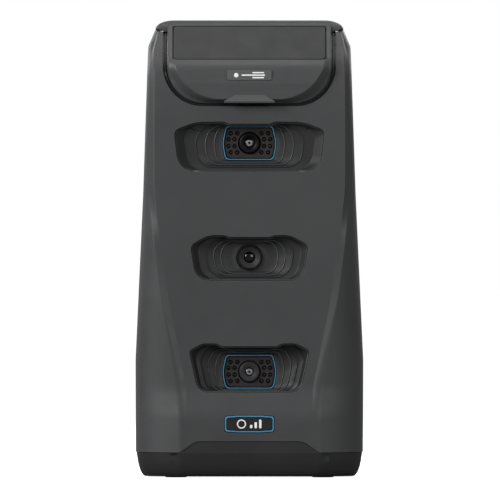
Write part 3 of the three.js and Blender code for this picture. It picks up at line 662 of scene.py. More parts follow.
def rim_cutter(outline, depth, soften=0.7):
    """Cutter that follows the curved front, so that the rim of the hole is rounded all the way."""
    stages = [(soften, -30), (soften, -0.12), (soften * 0.45, 0.06), (soften * 0.13, soften * 0.45),
              (0, soften), (0, depth)]
    depths = [front_depth(x, z) for x, z in outline]
    rings = []
    for grow, shift in reversed(stages):
        ring = outset(outline, grow)
        rings.append([(x, y + shift, z) for (x, z), y in zip(ring, depths)])
    return loft(rings)


def tab_outline(clearance):
    """Skirt's raised tab: soft shoulders that run out into the skirt's top edge."""
    low, base, high = SKIRT_TOP - 0.35, SKIRT_TOP - 0.05, TAB_TOP + clearance
    right = [(36.2 + clearance, high, 9), (47.6 + clearance, base, 9), (55, base, 0), (55, low, 0)]
    return filleted(mirrored(right), 8)


def hood_outline(half, bottom, corner, top=HEIGHT + 10):
    return filleted(mirrored([(half, top, 0), (half, bottom, corner)]), 24)


def at_window(name, corners, steps=8):
    """Closed outline from the right half of its corners, which count from the middle of a window's lens."""
    centre = WINDOW_CENTRE[name]
    return filleted(mirrored([(x, centre + z, radius) for x, z, radius in corners]), steps)


BADGE_BULGE = 0.6


def badge_outline(grow):
    _, centre, half, half_height = middle("badge_ring")
    half, half_height = half + grow, half_height + grow
    return filleted(mirrored([(half * 0.5, centre + half_height, 12),
                              (half, centre + half_height - BADGE_BULGE, 1.7),
                              (half, centre - half_height + BADGE_BULGE, 1.7),
                              (half * 0.5, centre - half_height, 12)]), 5)


# ------------------------------------------------------------------ housings

RIM_RADIUS, RIM_SPACING = 0.6, 3


def hollowed(name, section, outside, inside, step):
    """Open shell between an outer tower and an inner one, each cut off at its own parting depth."""
    shell = to_object(name, tower(LEVELS, lambda z: section(z, 0, outside)))
    levels = [SKIRT_TOP - 2] + spaced(20, SEAM - 4, step) + [SEAM + 2]
    return carve(shell, [tower(levels, lambda z: section(z, WALL, inside))])


def front_housing():
    shell = hollowed("front_shell", front_section, PARTING - GAP / 2, PARTING + 1, 6)
    hood = hood_outline(HOOD_HALF + HOOD_GROOVE, HOOD_BOTTOM - 1.5, HOOD_CORNER + 2)
    cutters = [rim_cutter(subdivided(hood, RIM_SPACING), 90, RIM_RADIUS)]
    for name, corners in WINDOW_CORNERS.items():
        opening = subdivided(outset(at_window(name, corners, 6), -0.2), RIM_SPACING)
        cutters.append(rim_cutter(opening, 16, RIM_RADIUS))
    cutters.append(slab(tab_outline(GAP), FRONT - 5, -40))
    cutters.append(slab(badge_outline(GAP), FRONT - 1, FRONT + 1.7))
    carve(shell, cutters)
    carve(shell, [ear_wedge(side, 0.5) for side in (-1, 1)])
    finished(shell, SHELL, "front_housing")


VENT_ROWS, VENT_BOTTOM, VENT_PITCH, VENT_HEIGHT, VENT_HALF, VENT_CENTRE = 7, 186, 7, 2.6, 18.5, 21.5
REAR_SCREWS = [f"rear_screw_{number}" for number in range(1, 5)]
BASE_SCREWS = [f"base_screw_{number}" for number in range(1, 5)]
WELL_RADIUS, CUT_DEPTH = 3.4, 10
LABEL_CENTRE, LABEL_HALF, LABEL_HALF_HEIGHT, LABEL_DEPTH = 112, 27, 12, 0.8


def rear_cutter(outline, depth, soften=0.6, surface=REAR):
    """Cutter for a hole in the flat rear, with a rounded rim."""
    stages = [(0, -depth), (0, -soften), (soften * 0.13, -soften * 0.45), (soften * 0.45, -0.05),
              (soften, 0.1), (soften, 5)]
    return loft([[(x, surface + shift, z) for x, z in outset(outline, grow)] for grow, shift in stages])


def rear_housing():
    shell = hollowed("rear_shell", rear_section, PARTING + GAP / 2, PARTING - 1, 8)
    cutters = [rear_cutter(around("io_panel", GAP, 4), CUT_DEPTH, 1.0)]
    for row in range(VENT_ROWS):
        half = VENT_HEIGHT / 2
        height = VENT_BOTTOM + row * VENT_PITCH + half
        for side in (-1, 1):
            vent = rounded_box(VENT_HALF, half, half - 0.05, height, side * VENT_CENTRE, 5)
            cutters.append(rear_cutter(vent, CUT_DEPTH, 0.4))
    for node in REAR_SCREWS:
        x, z, _, _ = middle(node)
        well = rounded_box(WELL_RADIUS, WELL_RADIUS, WELL_RADIUS - 0.01, z, x, 6)
        cutters.append(rear_cutter(well, CUT_DEPTH, 0.5, along(BACK, z, BACK_BLUR)))
    pocket = rounded_box(LABEL_HALF + GAP, LABEL_HALF_HEIGHT + GAP, 1.5, LABEL_CENTRE)
    cutters.append(rear_cutter(pocket, LABEL_DEPTH, 0.2))
    carve(shell, cutters)
    finished(shell, SHELL, "rear_housing")


SEAL_OVERLAP, SEAL_THICKNESS, SEAL_REACH = 0.1, 1.6, 4


def parting_seal():
    """Strips behind the side joints, so that no light passes between the front and rear housings."""
    for side, name in ((-1, "left"), (1, "right")):
        rings = []
        for z in spaced(SKIRT_TOP + 6, SEAM - 1.5, 5):
            wall = along(SIDE, z, SIDE_BLUR) - WALL
            near, far = sorted((side * (wall - SEAL_OVERLAP), side * (wall - SEAL_THICKNESS)))
            rings.append([(x, PARTING + reach, z)
                          for x, reach in ((near, -SEAL_REACH), (far, -SEAL_REACH), (far, SEAL_REACH),
                                           (near, SEAL_REACH))])
        piece(f"parting_seal_{name}", loft(rings), SEAL, slot="shell_plastic")


def rating_label():
    """Blank foil label in its pocket: no lettering."""
    outline = rounded_box(LABEL_HALF, LABEL_HALF_HEIGHT, 1.3, LABEL_CENTRE)
    floor = REAR - LABEL_DEPTH
    piece("rating_label", slab(outline, floor + 0.05, floor + 0.3), LABEL, slot="plate_grey")


# ------------------------------------------------------------------ top cap


def slope_place(x, up, out):
    """Point on the panel's slope: across, up along it, and out from its surface."""
    run = Vector((PANEL_HEAD[0] - PANEL_FOOT[0], PANEL_HEAD[1] - PANEL_FOOT[1])).normalized()
    return (x, PANEL_FOOT[0] + run.x * up - run.y * out, PANEL_FOOT[1] + run.y * up + run.x * out)


SLOPE_LENGTH = math.dist(PANEL_HEAD, PANEL_FOOT)


def panel_outline(grow):
    half, low, high = PANEL_HALF - 0.2 + grow, 0.7 - 1.6 * grow, SLOPE_LENGTH - 1.6 + 0.1 * grow
    return filleted([(-half, low, 3), (half, low, 3), (half, high, 2), (-half, high, 2)], 6)


def on_slope(outline, out, below, soften=0.0):
    return prism(outline, -below, out, soften, slope_place)


def crossways(profile, half):
    """Prism across the object of a side-view outline of (depth, height) points."""
    return loft([[(x, y, z) for y, z in profile] for x in (-half, half)])


CROWN_LOW, CROWN_STEPS = SEAM + GAP / 2, 12
CROWN_SHARES = [math.sin(math.pi / 2 * step / CROWN_STEPS) for step in range(CROWN_STEPS + 1)]
# Half width, front and back of the crown at its top, and how much each grows towards its foot.
CROWN_PLAN = ((51.5, 12.7), (-17, -8.8), (44, 6.8))
CROWN_FRONT_RADIUS, CROWN_BACK_RADIUS = 3, 17


def crown_plan(share):
    """Half width, front and back of the crown part of the way up, where it follows an ellipse."""
    swell = math.sqrt(max(0.0, 1 - share ** 2))
    return [top + growth * swell for top, growth in CROWN_PLAN]


def crown_section(share):
    half, front, back = crown_plan(share)
    height = CROWN_LOW + (HEIGHT - CROWN_LOW) * share
    corners = [(-half, front, CROWN_FRONT_RADIUS), (half, front, CROWN_FRONT_RADIUS),
               (half, back, CROWN_BACK_RADIUS), (-half, back, CROWN_BACK_RADIUS)]
    return [(x, y, height) for x, y in filleted(corners, 8)]


def crown_outline():
    """Front view of the crown, whose top corners are part of an ellipse."""
    right = [(HOOD_HALF + 14, HOOD_BOTTOM - 10), (HOOD_HALF + 14, CROWN_LOW)]
    right += [(crown_plan(share)[0], CROWN_LOW + (HEIGHT - CROWN_LOW) * share) for share in CROWN_SHARES]
    return both_sides(right)


# Rings of the hood, as (how far in from its outer edge, depth).
HOOD_STAGES = [(0, -52.0), (0.03, -52.5), (0.09, -52.95), (0.17, -53.15), (0.27, -53.3), (0.36, -53.75),
               (0.5, -54.8), (0.68, -56.4), (0.84, -57.8), (0.95, -58.6), (1.06, -59.1), (1.2, -59.4),
               (1.4, -59.6)]
HOOD_FRONT = [(268, HOOD_FACE), (279.5, -57.6), (285, -53.2), (309.2, -25.5), (HEIGHT, -20)]
HOOD_NARROWS, HOOD_RISES, HOOD_ROUNDS = 4.4, 2.9, 7
HOOD_SIDE_STEPS, HOOD_ARC_STEPS = 40, 24
SCOOP_END, SCOOP_FADE, SCOOP_LEAST = 287, 15, 0.06
EDGE_ROUNDING, EDGE_SHARE = 1.2, 0.2


def hood_path(share):
    """Outline of the hood part of the way from its outer edge (0) to its inner arc (1), open at the top."""
    half, corner = HOOD_HALF - HOOD_NARROWS * share, HOOD_CORNER + HOOD_ROUNDS * share
    bend = (half - corner, HOOD_BOTTOM + HOOD_RISES * share + corner)
    right = [between((half, HEIGHT + 2), (half, bend[1]), step / HOOD_SIDE_STEPS)
             for step in range(HOOD_SIDE_STEPS)]
    return both_sides(right + arc(bend, corner, 0, -math.pi / 2, HOOD_ARC_STEPS))


def hood_ring(share, depth):
    """One ring of the hood: a scooped edge low down, which fades out beside the sloping panel."""
    rounded = EDGE_ROUNDING * max(0.0, 1 - share / EDGE_SHARE) ** 2
    ring = []
    for x, z in hood_path(share):
        fade = SCOOP_LEAST + (1 - SCOOP_LEAST) * min(1.0, max(0.0, (SCOOP_END - z) / SCOOP_FADE))
        scoop = (depth - HOOD_FACE) * (fade if depth > HOOD_FACE else 1)
        ring.append((x, along(HOOD_FRONT, z, 2) + scoop + rounded, z))
    return ring


def flat_ring(share, depth):
    return [(x, depth, z) for x, z in hood_path(share)]


NAMEPLATE_RADIUS = 0.8


def top_cap():
    """Hood cut to its side and front views, then joined to the crown, the ears and the lip."""
    rings = [flat_ring(0, -5)] + [hood_ring(*stage) for stage in HOOD_STAGES] + [flat_ring(1.4, -64)]
    hood = to_object("cap", loft(rings))
    profile = filleted([
        (-17, HEIGHT, 4), (*PANEL_HEAD, 3), (*PANEL_FOOT, 1.2), (-57.6, 279.5, 10), (HOOD_FACE, 268, 20),
        (HOOD_FACE, HOOD_BOTTOM - 1), (-50.5, HOOD_BOTTOM - 1), (-48, 279), (-24, 303), (-12, 306),
        (-12, HEIGHT)], 10)
    for kept in (crossways(profile, HOOD_HALF + 1), slab(crown_outline(), FRONT - 1, REAR)):
        carve(hood, [kept], "INTERSECT")
    crown = loft([crown_section(share) for share in CROWN_SHARES])
    for added in ([crown], [ear_wedge(side, 0) for side in (-1, 1)], [lip()]):
        carve(hood, added, "UNION")
    carve(hood, [box_mesh((-46, -8, SEAM - 3), (46, 38, HEIGHT - WALL)),
                 on_slope(panel_outline(0.7), 6, 2.8),
                 slab(around("nameplate", GAP, NAMEPLATE_RADIUS), FRONT - 2, HOOD_FACE + 0.6)])
    finished(hood, CAP, "top_cap")


EAR_LOW, EAR_TOP, EAR_REACH, EAR_ROOM = 303.7, 306.5, 63.9, 66


def ear_wedge(side, clearance):
    """Fills (or, with a clearance, makes room for) the cap's corner where its seam slopes down inwards."""
    reach = EAR_ROOM if clearance else EAR_REACH
    seam = [(HOOD_HALF - 1, EAR_LOW), (HOOD_HALF, EAR_LOW + 0.15), (reach, EAR_TOP - 0.15)]
    base = [(x, z - clearance) for x, z in seam] + [(reach, EAR_TOP), (HOOD_HALF - 1, EAR_TOP)]
    if side < 0:
        base = [(-x, z) for x, z in reversed(base)]
    return slab(base, *((-70, PARTING - 0.2) if clearance else (-26.2, PARTING - 1)))


GASKET_TOP, GASKET_SPACING, GASKET_MIDDLE = 303.2, 2.5, 285
GASKET_SECTION = [(-2.6, 4.4), (-2.6, 3.1), (-0.75, 3.05), (-0.7, 1.9), (-0.5, 1.35), (0, 1.1), (0.5, 1.35),
                  (0.7, 1.9), (0.75, 3.05), (3.4, 3.1), (3.4, 4.4)]


def hood_gasket():
    """Black seal that fills the groove round the hood, with a rounded bead."""
    half, bottom = HOOD_HALF + HOOD_GROOVE / 2, HOOD_BOTTOM - HOOD_GROOVE / 2 + 0.3
    path = subdivided(hood_outline(half, bottom, HOOD_CORNER + HOOD_GROOVE / 2, GASKET_TOP), GASKET_SPACING)
    start = path.index(max(path, key=lambda point: (point[1], point[0])))
    path = path[start:] + path[:start]
    if path[1][1] > GASKET_TOP - 0.2:
        path = [path[0]] + list(reversed(path[1:]))
    path = [point for point in path if point[1] < GASKET_TOP - 0.1 or abs(point[0]) > half - 0.01]
    rings = []
    for index, (x, z) in enumerate(path):
        before, after = Vector(path[max(index - 1, 0)]), Vector(path[min(index + 1, len(path) - 1)])
        tangent = (after - before).normalized()
        normal = Vector((tangent.y, -tangent.x))
        if normal.dot(Vector((x, z - GASKET_MIDDLE))) < 0:
            normal.negate()
        depth = front_depth(x, z)
        rings.append([(x + normal.x * out, depth + back, z + normal.y * out) for out, back in GASKET_SECTION])
    piece("hood_seal", loft(rings), SEAL, slot="cap_plastic", sharp=50)


LIP_TOP_HALF, LIP_HALF, LIP_FRONT = 9.9, 17.4, -61.5


def lip():
    """Small pull-out ledge in the middle of the chin, facing up."""
    top, bottom, back = HOOD_BOTTOM + 6.0, HOOD_BOTTOM + 0.6, HOOD_FACE + 2
    corners = [(LIP_TOP_HALF, HOOD_FACE - 0.05, top), (LIP_HALF, LIP_FRONT, bottom + 1.0),
               (LIP_HALF - 0.4, LIP_FRONT + 0.2, bottom), (LIP_TOP_HALF, back, top),
               (LIP_HALF - 1.4, back, bottom)]
    vertices = [(side * x, y, z) for x, y, z in corners for side in (-1, 1)]
    faces = [(0, 1, 3, 2), (2, 3, 5, 4), (4, 5, 9, 8), (6, 7, 1, 0), (8, 9, 7, 6), (1, 7, 9, 5, 3),
             (0, 2, 4, 8, 6)]
    return vertices, faces


def top_panel():
    piece("panel", on_slope(panel_outline(0), -0.4, 1.8, 0.4), PANEL, "top_panel")


def nameplate():
    outline = around("nameplate", 0, NAMEPLATE_RADIUS)
    piece("plate", slab(outline, HOOD_FACE - 0.1, HOOD_FACE + GAP, 0.15), NAMEPLATE, "nameplate")


# Flight lines of the nameplate's mark, as (half length, height over its middle, place across).
FLIGHT_LINES = ((8.0, 0.0, 2.6), (4.0, 1.7, 6.0), (4.0, -1.7, 6.0))


def nameplate_mark():
    """Generic mark: a ball beside straight flight lines."""
    centre = middle("nameplate")[1]
    face = HOOD_FACE - 0.22
    back = face + 0.14
    ball = turned([(0, face), (1.5, face), (1.5, back), (0, back)], (-9.0, centre), 32)
    lines = [slab(rounded_box(half, 0.45, 0.44, centre + lift, across), face, back)
             for half, lift, across in FLIGHT_LINES]
    piece("nameplate_mark", joined(ball, *lines), GLOWING_WHITE, slot="indicator_white")


# ------------------------------------------------------------------ badge

BAR_PITCH, BAR_HALVES = 3.1, (1.1, 2.0, 2.9)


def badge():
    """Ringed badge with a generic mark: a hoop beside three bars of growing height."""
    ring = hoop("ring", badge_outline(0), badge_outline(-1.2), FRONT + 0.05, FRONT + 1, 0.3)
    finished(ring, DEEP_BLUE, "badge_ring")
    line = hoop("ring_line", badge_outline(-0.25), badge_outline(-1.0), FRONT + 0.01, FRONT + 0.4, 0.1)
    finished(line, BLUE, slot="light_blue")
    piece("face", slab(badge_outline(-1.5), FRONT + 0.3, FRONT + 1.4, 0.2), BADGE, "badge_plate")
    centre = middle("badge_plate")[1]
    front, back = FRONT + 0.12, FRONT + 0.32
    mark = [turned([(2.3, front), (3.1, front), (3.1, back), (2.3, back)], (-5.4, centre), 48)]
    foot = centre - BAR_HALVES[-1] + 0.1
    for step, half_height in enumerate(BAR_HALVES):
        outline = rounded_box(0.8, half_height, 0.4, foot + half_height, 1.2 + step * BAR_PITCH, 4)
        mark.append(slab(outline, front, back))
    piece("badge_mark", joined(*mark), GLOWING_WHITE, slot="indicator_white")


# ------------------------------------------------------------------ base

# Height over the skirt's foot, and how far the skirt stands back there.
SKIRT_LEVELS = [(0, 6.4), (0.35, 5.6), (1.2, 4.7), (2.6, 3.7), (4.5, 2.9), (7, 2.1), (10, 1.4)]
WHEEL_SLOT = (17, 3.7, 2, 8.9)


def skirt_loft(levels):
    return loft([[(x, y, z) for x, y in plan_section(SKIRT_TOP, inset)] for z, inset in levels])


def base_skirt():
    outside = [(SKIRT_BOTTOM + height, inset) for height, inset in SKIRT_LEVELS] + [(SKIRT_TOP, 0.5)]
    skirt = to_object("skirt", skirt_loft(outside))
    hollow = skirt_loft([(-1, 8.4), (SKIRT_TOP + 12, 8.4)])
    shelf = skirt_loft([(SKIRT_BOTTOM + 6, WALL + 3), (SKIRT_TOP + 1, WALL + 1)])
    for cutter in (hollow, shelf, slab(rounded_box(*WHEEL_SLOT), REAR - 16, REAR + 2)):
        carve(skirt, [cutter])
    tab = slab(tab_outline(0), FRONT + 0.5, FRONT + WALL + 0.4)
    backing = box_mesh((-54, FRONT + WALL + 0.3, SKIRT_TOP - 6), (54, FRONT + WALL + 1.6, TAB_TOP + 3.5))
    for added in (tab, backing):
        carve(skirt, [added], "UNION")
    finished(skirt, SKIRT, "base_skirt")


FOOT_SOLE = [(0, 0.35), (4.6, 0.35), (5.0, 0.02), (6.6, 0.02), (7.4, 0.35)]


def feet():
    for place in ("front_left", "front_right", "rear_left", "rear_right"):
        node = f"foot_{place}"
        radius = middle(node)[2]
        profile = FOOT_SOLE + [(radius, 1.0), (radius, TOP), (0, TOP)]
        piece(f"{node}_pad", revolved(node, profile, vertical=True), RUBBER, node)


TEETH, TOOTH, WHEEL_CHAMFER, WHEEL_BORE = 60, (0.0, 0.35, 0.7, 0.35), 0.7, 4.4
THREAD_PITCH, THREAD_ROOT, THREAD_CREST, THREAD_START = 1.25, 3.35, 3.95, 1.6
FOOT_PAD = [(0, 0.2), (6.5, 0.2), (7.0, 0), (8.0, 0), (8.8, 0.4), (8.8, TOP), (0, TOP)]


def levelling():
    """Knurled wheel, and the threaded foot with its rubber pad."""
    low, high = spot("levelling_wheel")
    centre = ((low.x + high.x) / 2, (low.y + high.y) / 2)
    rim = []
    for step in range(TEETH * len(TOOTH)):
        angle = math.tau * step / (TEETH * len(TOOTH))
        radius = (high.x - low.x) / 2 - TOOTH[step % len(TOOTH)]
        rim.append((centre[0] + radius * math.cos(angle), centre[1] + radius * math.sin(angle)))
    face = [between(centre, point, 0.955) for point in rim]
    levels = ((face, low.z), (rim, low.z + WHEEL_CHAMFER), (rim, high.z - WHEEL_CHAMFER), (face, high.z))
    wheel = to_object("knurled_wheel", loft([[(x, y, z) for x, y in outline] for outline, z in levels]))
    bore = [(0, low.z - 1), (WHEEL_BORE, low.z - 1), (WHEEL_BORE, high.z + 1), (0, high.z + 1)]
    carve(wheel, [upright(bore, centre)])
    finished(wheel, RUBBER, "levelling_wheel", body="adjuster_wheel")
    low, high = spot("levelling_foot")
    stem = [(0, 0), (8.5, 0), (8.8, 0.3), (8.6, 0.9), (3.9, 0.9)]
    height = THREAD_START
    while height + THREAD_PITCH < high.z - low.z - 0.5:
        stem += [(THREAD_ROOT, height), (THREAD_CREST, height + THREAD_PITCH / 2)]
        height += THREAD_PITCH
    stem += [(3.4, TOP - 0.4), (3.0, TOP), (0, TOP)]
    piece("threaded_foot", revolved("levelling_foot", stem, 32, vertical=True), STEEL, "levelling_foot",
          body="adjuster_foot")
    piece("foot_pad", revolved("levelling_foot_pad", FOOT_PAD, vertical=True), RUBBER, "levelling_foot_pad",
          body="adjuster_foot")


# ------------------------------------------------------------------ camera windows

# Where each step of a bezel runs, from the window's rim (0) to the frame round the lens (1).
TERRACE_STEPS = {"upper": (0.435, 0.64, 0.83), "middle": (0.4, 0.6, 0.8), "lower": (0.35, 0.55, 0.78)}
WALL_FOOT = 0.2
BEZEL_FRONT = {"upper": 1.7, "middle": 1.7, "lower": -0.7}
WALL_DEPTH, STEP_DEPTH, BEZEL_DEPTH = 6.2, 1.5, 14.9


def plate_corners(grow):
    """Right half of the light plate's outline, whose sides bow out, grown by a small distance."""
    half, tall = PLATE_HALF + grow, PLATE_HALF_HEIGHT + grow
    return [(half * 0.35, tall, 1.5), (half * 0.5, tall, 1.5), (half - 2.7, tall, 2.2), (half, 0, 22),
            (half - 2.3, -tall, 3.2)]


FLOOR_CORNERS = [(6, 9.6, 1.5), (9, 9.6, 1.5), (12.5, 9.6, 3), (15, 1, 12), (12.5, -9.6, 6)]
# One tread of a bezel: how far each ring stands out from the tread's edge, and its depth from the tread.
TREAD = [(0.55, 0), (0.32, -0.3), (0, -0.45), (-0.3, -0.25), (-0.55, 0.25)]
HOLE_RADIUS = 9.0
NOSE_LIFT, NOSE_REACH = 0.25, 0.11


def plate_outline(name, grow):
    return at_window(name, plate_corners(grow))


def terrace_outline(name, share):
    """Outline part of the way from the window's rim (0) to the frame round the lens (1)."""
    inner = FLOOR_CORNERS if name == "middle" else plate_corners(RING_WIDTH + GAP)
    shape = []
    for start, end in zip(WINDOW_CORNERS[name], inner):
        x, z, radius = between(start, end, share)
        rounder = 2 * math.sin(math.pi * share) if start[1] < 0 else 0
        shape.append((x, z, radius + rounder))
    return at_window(name, shape)


def bezel_stages(name):
    """Outlines and depths of a bezel's visible side: a steep wall, then treads with raised noses."""
    rim = outset(terrace_outline(name, 0), -GAP)
    foot = terrace_outline(name, WALL_FOOT)
    front = BEZEL_FRONT[name]
    stages = [(rim, front + 0.25), (outset(rim, -0.25), front), (outset(rim, -0.8), front + 0.3),
              (outset(foot, 0.7), WALL_DEPTH - 0.5), (foot, WALL_DEPTH)]
    depth = WALL_DEPTH + 0.7
    for share in TERRACE_STEPS[name]:
        edge = terrace_outline(name, share)
        stages += [(outset(edge, out) if out else edge, depth + lift) for out, lift in TREAD]
        depth += STEP_DEPTH
    stages.append((terrace_outline(name, 1), depth - 0.1))
    return stages, depth


def bezel(name):
    """One closed body of rings: out of the back, over the front, and down to the frame round the lens."""
    face, centre = WINDOW_FACE[name], WINDOW_CENTRE[name]
    stages, floor = bezel_stages(name)
    rim, inner = stages[0][0], stages[-1][0]
    rings = [(outset(rim, -4), BEZEL_DEPTH), (rim, 9)] + stages
    if name == "middle":
        angles = [math.atan2(z - centre, x) for x, z in inner]
        hole = [(HOLE_RADIUS * math.cos(angle), centre + HOLE_RADIUS * math.sin(angle)) for angle in angles]
        rings += [(hole, floor + 0.1), (hole, BEZEL_DEPTH)]
    else:
        rings.append((inner, BEZEL_DEPTH))
    count = len(rim)
    vertices = [(x, face + depth, z) for outline, depth in rings for x, z in outline]
    faces = []
    for row in range(len(rings)):
        low, high = row * count, (row + 1) % len(rings) * count
        faces += [(low + column, low + (column + 1) % count, high + (column + 1) % count, high + column)
                  for column in range(count)]
    thing = piece(f"{name}_bezel", (vertices, faces), BEZEL, f"{name}_window_bezel", sharp=28)
    paint_nose_highlights(thing, name)


def paint_nose_highlights(thing, name):
    """Gives the raised nose of each inner tread a paler colour, a painted highlight, so the treads read as
    lit contour lines.
    """
    thing.data.materials.append(BEZEL_NOSE_HIGHLIGHT)
    noses = [WALL_DEPTH + NOSE_LIFT + STEP_DEPTH * step for step in range(1, len(TERRACE_STEPS[name]))]
    for polygon in thing.data.polygons:
        depth = polygon.center.y / MM - WINDOW_FACE[name]
        if any(abs(depth - nose) < NOSE_REACH for nose in noses):
            polygon.material_index = 1


# Depths behind a window's face.
RING_FRONT, RING_BACK, LINE_FRONT, LINE_BACK = 11.5, 14.8, 11.3, 11.8
PLATE_FRONT, PLATE_BACK, EMITTER_FRONT, BOARD_FRONT = 12.6, 14.2, 13.2, 14.6
SEAT_RADIUS = 7.9


def light_ring(name):
    face = WINDOW_FACE[name]
    ring = hoop(f"{name}_ring", plate_outline(name, RING_WIDTH), plate_outline(name, -0.1), face + RING_FRONT,
                face + RING_BACK, 0.1)
    finished(ring, DEEP_BLUE, f"{name}_light_ring")
    line = hoop(f"{name}_ring_line", plate_outline(name, 0.5), plate_outline(name, 0.05), face + LINE_FRONT,
                face + LINE_BACK, 0.1)
    finished(line, BLUE, slot="light_blue")


def drill(centre, mouth, bore, chamfer, front, segments):
    """Cutter for a round hole with a chamfered mouth."""
    profile = [(0, front - 1), (mouth, front - 1), (mouth, front - 0.02), (bore, front + chamfer),
               (bore, front + 3), (0, front + 3)]
    return turned(profile, centre, segments)


def dome(radius, rise, sweep, steps, front):
    """Curved front of a round part as (radius, depth) points, from its middle to its rim."""
    angles = [sweep * step / steps for step in range(steps + 1)]
    return [(radius * math.sin(angle) / math.sin(sweep), front + rise * (1 - math.cos(angle)))
            for angle in angles]


def led_plate(name):
    """Drilled plate with a seat for the lens, set back inside its light ring."""
    face, centre = WINDOW_FACE[name], WINDOW_CENTRE[name]
    front = face + PLATE_FRONT
    body = to_object(f"{name}_plate", slab(plate_outline(name, -GAP - 0.3), front, face + PLATE_BACK, 0.3))
    holes = [drill((x, centre + z), 1.7, 1.45, 0.25, front, 28) for x, z in LED_PLACES]
    carve(body, holes + [drill((0, centre), SEAT_RADIUS, 7.5, 0.4, front, 64)])
    finished(body, PLATE, f"{name}_led_faceplate")


def led_array(name):
    """Infrared emitters, each a small dark dome low in its hole, on their board."""
    face, centre = WINDOW_FACE[name], WINDOW_CENTRE[name]
    front = face + EMITTER_FRONT
    profile = dome(1.0, 0.8, math.pi / 2, 5, front)
    profile += [(1.35, front + 0.85), (1.35, front + 1.9), (0, front + 1.9)]
    domes = [turned(profile, (x, centre + z), 20) for x, z in LED_PLACES]
    piece(f"{name}_leds", joined(*domes), LED, slot="black_plastic")
    node = f"{name}_led_board"
    back = spot(node)[1].y
    board = to_object(f"{name}_emitter_board", slab(around(node, 0, 2), face + BOARD_FRONT, back, 0.1))
    hole = [(0, face + 10), (SEAT_RADIUS, face + 10), (SEAT_RADIUS, back + 2), (0, back + 2)]
    carve(board, [turned(hole, (0, centre), 48)])
    finished(board, DARK_BOARD, node)


# Front of each lens barrel, from its bore outwards: [radius, depth behind its front].
BARRELS = {
    "upper": [(3.7, 3.4), (3.8, 2.4), (4.5, 2.1), (4.6, 1.4), (5.0, 1.2), (5.1, 0.5), (5.5, 0.1), (6.0, 0),
              (6.5, 0.25), (6.9, 0.7), (6.9, 5)],
    "middle": [(3.8, 4.6), (3.9, 3.2), (4.2, 3.05), (7.2, 1.6), (7.35, 0.7), (7.6, 0.15), (8.0, 0),
               (8.4, 0.12), (8.6, 0.5), (8.6, 5)],
    "lower": [(2.9, 3.4), (2.95, 1.2), (3.5, 0.85), (4.4, 0.42), (5.3, 0.2), (6.1, 0.12), (6.4, 0.3),
              (6.5, 0.75), (6.9, 0.95), (6.9, 5)],
}
LENS_RADIUS = {"upper": 3.7, "middle": 3.8, "lower": 2.9}
LENS_FRONT = {"upper": 1.6, "middle": 2.2, "lower": 0.75}

BARREL_BACK = [(7.4, 5.2), (7.4, TOP - 4.2), (10.5, TOP - 4.2), (10.5, TOP), (4.4, TOP), (4.4, 9)]
MASK = [(3.95, 2.95), (4.3, 2.85), (7.15, 1.25), (7.3, 1.25), (7.3, 1.5), (4.2, 3.1), (3.95, 3.1)]
GLARE_RING = [(0.95, 0.1), (1.15, 0), (1.75, 0.05), (2.05, 0.25), (2.05, 0.9), (0.95, 0.6)]
LENS_SWEEP, LENS_RISE = 1.15, 0.6


def lens(name):
    """Barrel with a stepped front and a deeply curved, coated front element."""
    node, radius, front = f"{name}_lens_barrel", LENS_RADIUS[name] - 0.05, LENS_FRONT[name]
    profile = BARRELS[name] + BARREL_BACK + [(LENS_RADIUS[name], 8)]
    piece(f"{name}_barrel", revolved(node, profile, 96), BARREL_GREY if name == "lower" else BARREL, node)
    profile = dome(radius, radius * LENS_RISE, LENS_SWEEP, 12, front) + [(radius, front + 3), (0, front + 3)]
    coating = BARE_GLASS if name == "middle" else GLASS
    piece(f"{name}_glass", revolved(node, profile), coating, f"{name}_lens_glass")


def lens_cone():
    """Grey conical mask inside the middle lens's black rim."""
    piece("middle_lens_mask", revolved("middle_lens_barrel", MASK, 96), BARREL_GREY, slot="black_plastic")


def glare_ring(name):
    """Pale ring at the tip of a lens, a painted glint on its inner element, with a dark pupil in its middle.
    """
    profile = [(radius, LENS_FRONT[name] - 0.25 + reach) for radius, reach in GLARE_RING]
    piece(f"{name}_painted_glint_ring", revolved(f"{name}_lens_barrel", profile, 56), GLARE, slot="lens_glass")


# ------------------------------------------------------------------ rear connections

ROUND_PORTS = {"dc_inlet": 0.3, "power_button": -1.1, "status_light": 0.3}
PORT_DEPTH, PORT_RIM = 4, 0.3


def io_panel():
    low, high = spot("io_panel")
    outline = around("io_panel", 0.25, 4)
    levels = ((outline, low.y), (outline, high.y - 0.3), (outset(outline, -0.3), high.y))
    panel = to_object("port_panel", loft([[(x, y, z) for x, z in ring] for ring, y in levels]))
    holes = [around("ethernet_jack", 0.3, 0.4), around("usb_c_port", 0.35, 1.75, taller=-0.05)]
    for node, grow in ROUND_PORTS.items():
        x, z, half, _ = middle(node)
        holes.append(rounded_box(half + grow, half + grow, half + grow - 0.01, z, x, 10))
    carve(panel, [rear_cutter(hole, PORT_DEPTH, PORT_RIM, high.y) for hole in holes])
    finished(panel, PORTS, "io_panel")


# Openings of the network socket: half width, bottom and top from its middle.
JACK_OPENINGS = ((5.9, -5.2, 3.0), (2.8, 2.5, 5.2))
PINS, PIN_PITCH, PIN_HALF = 8, 1.02, 0.2


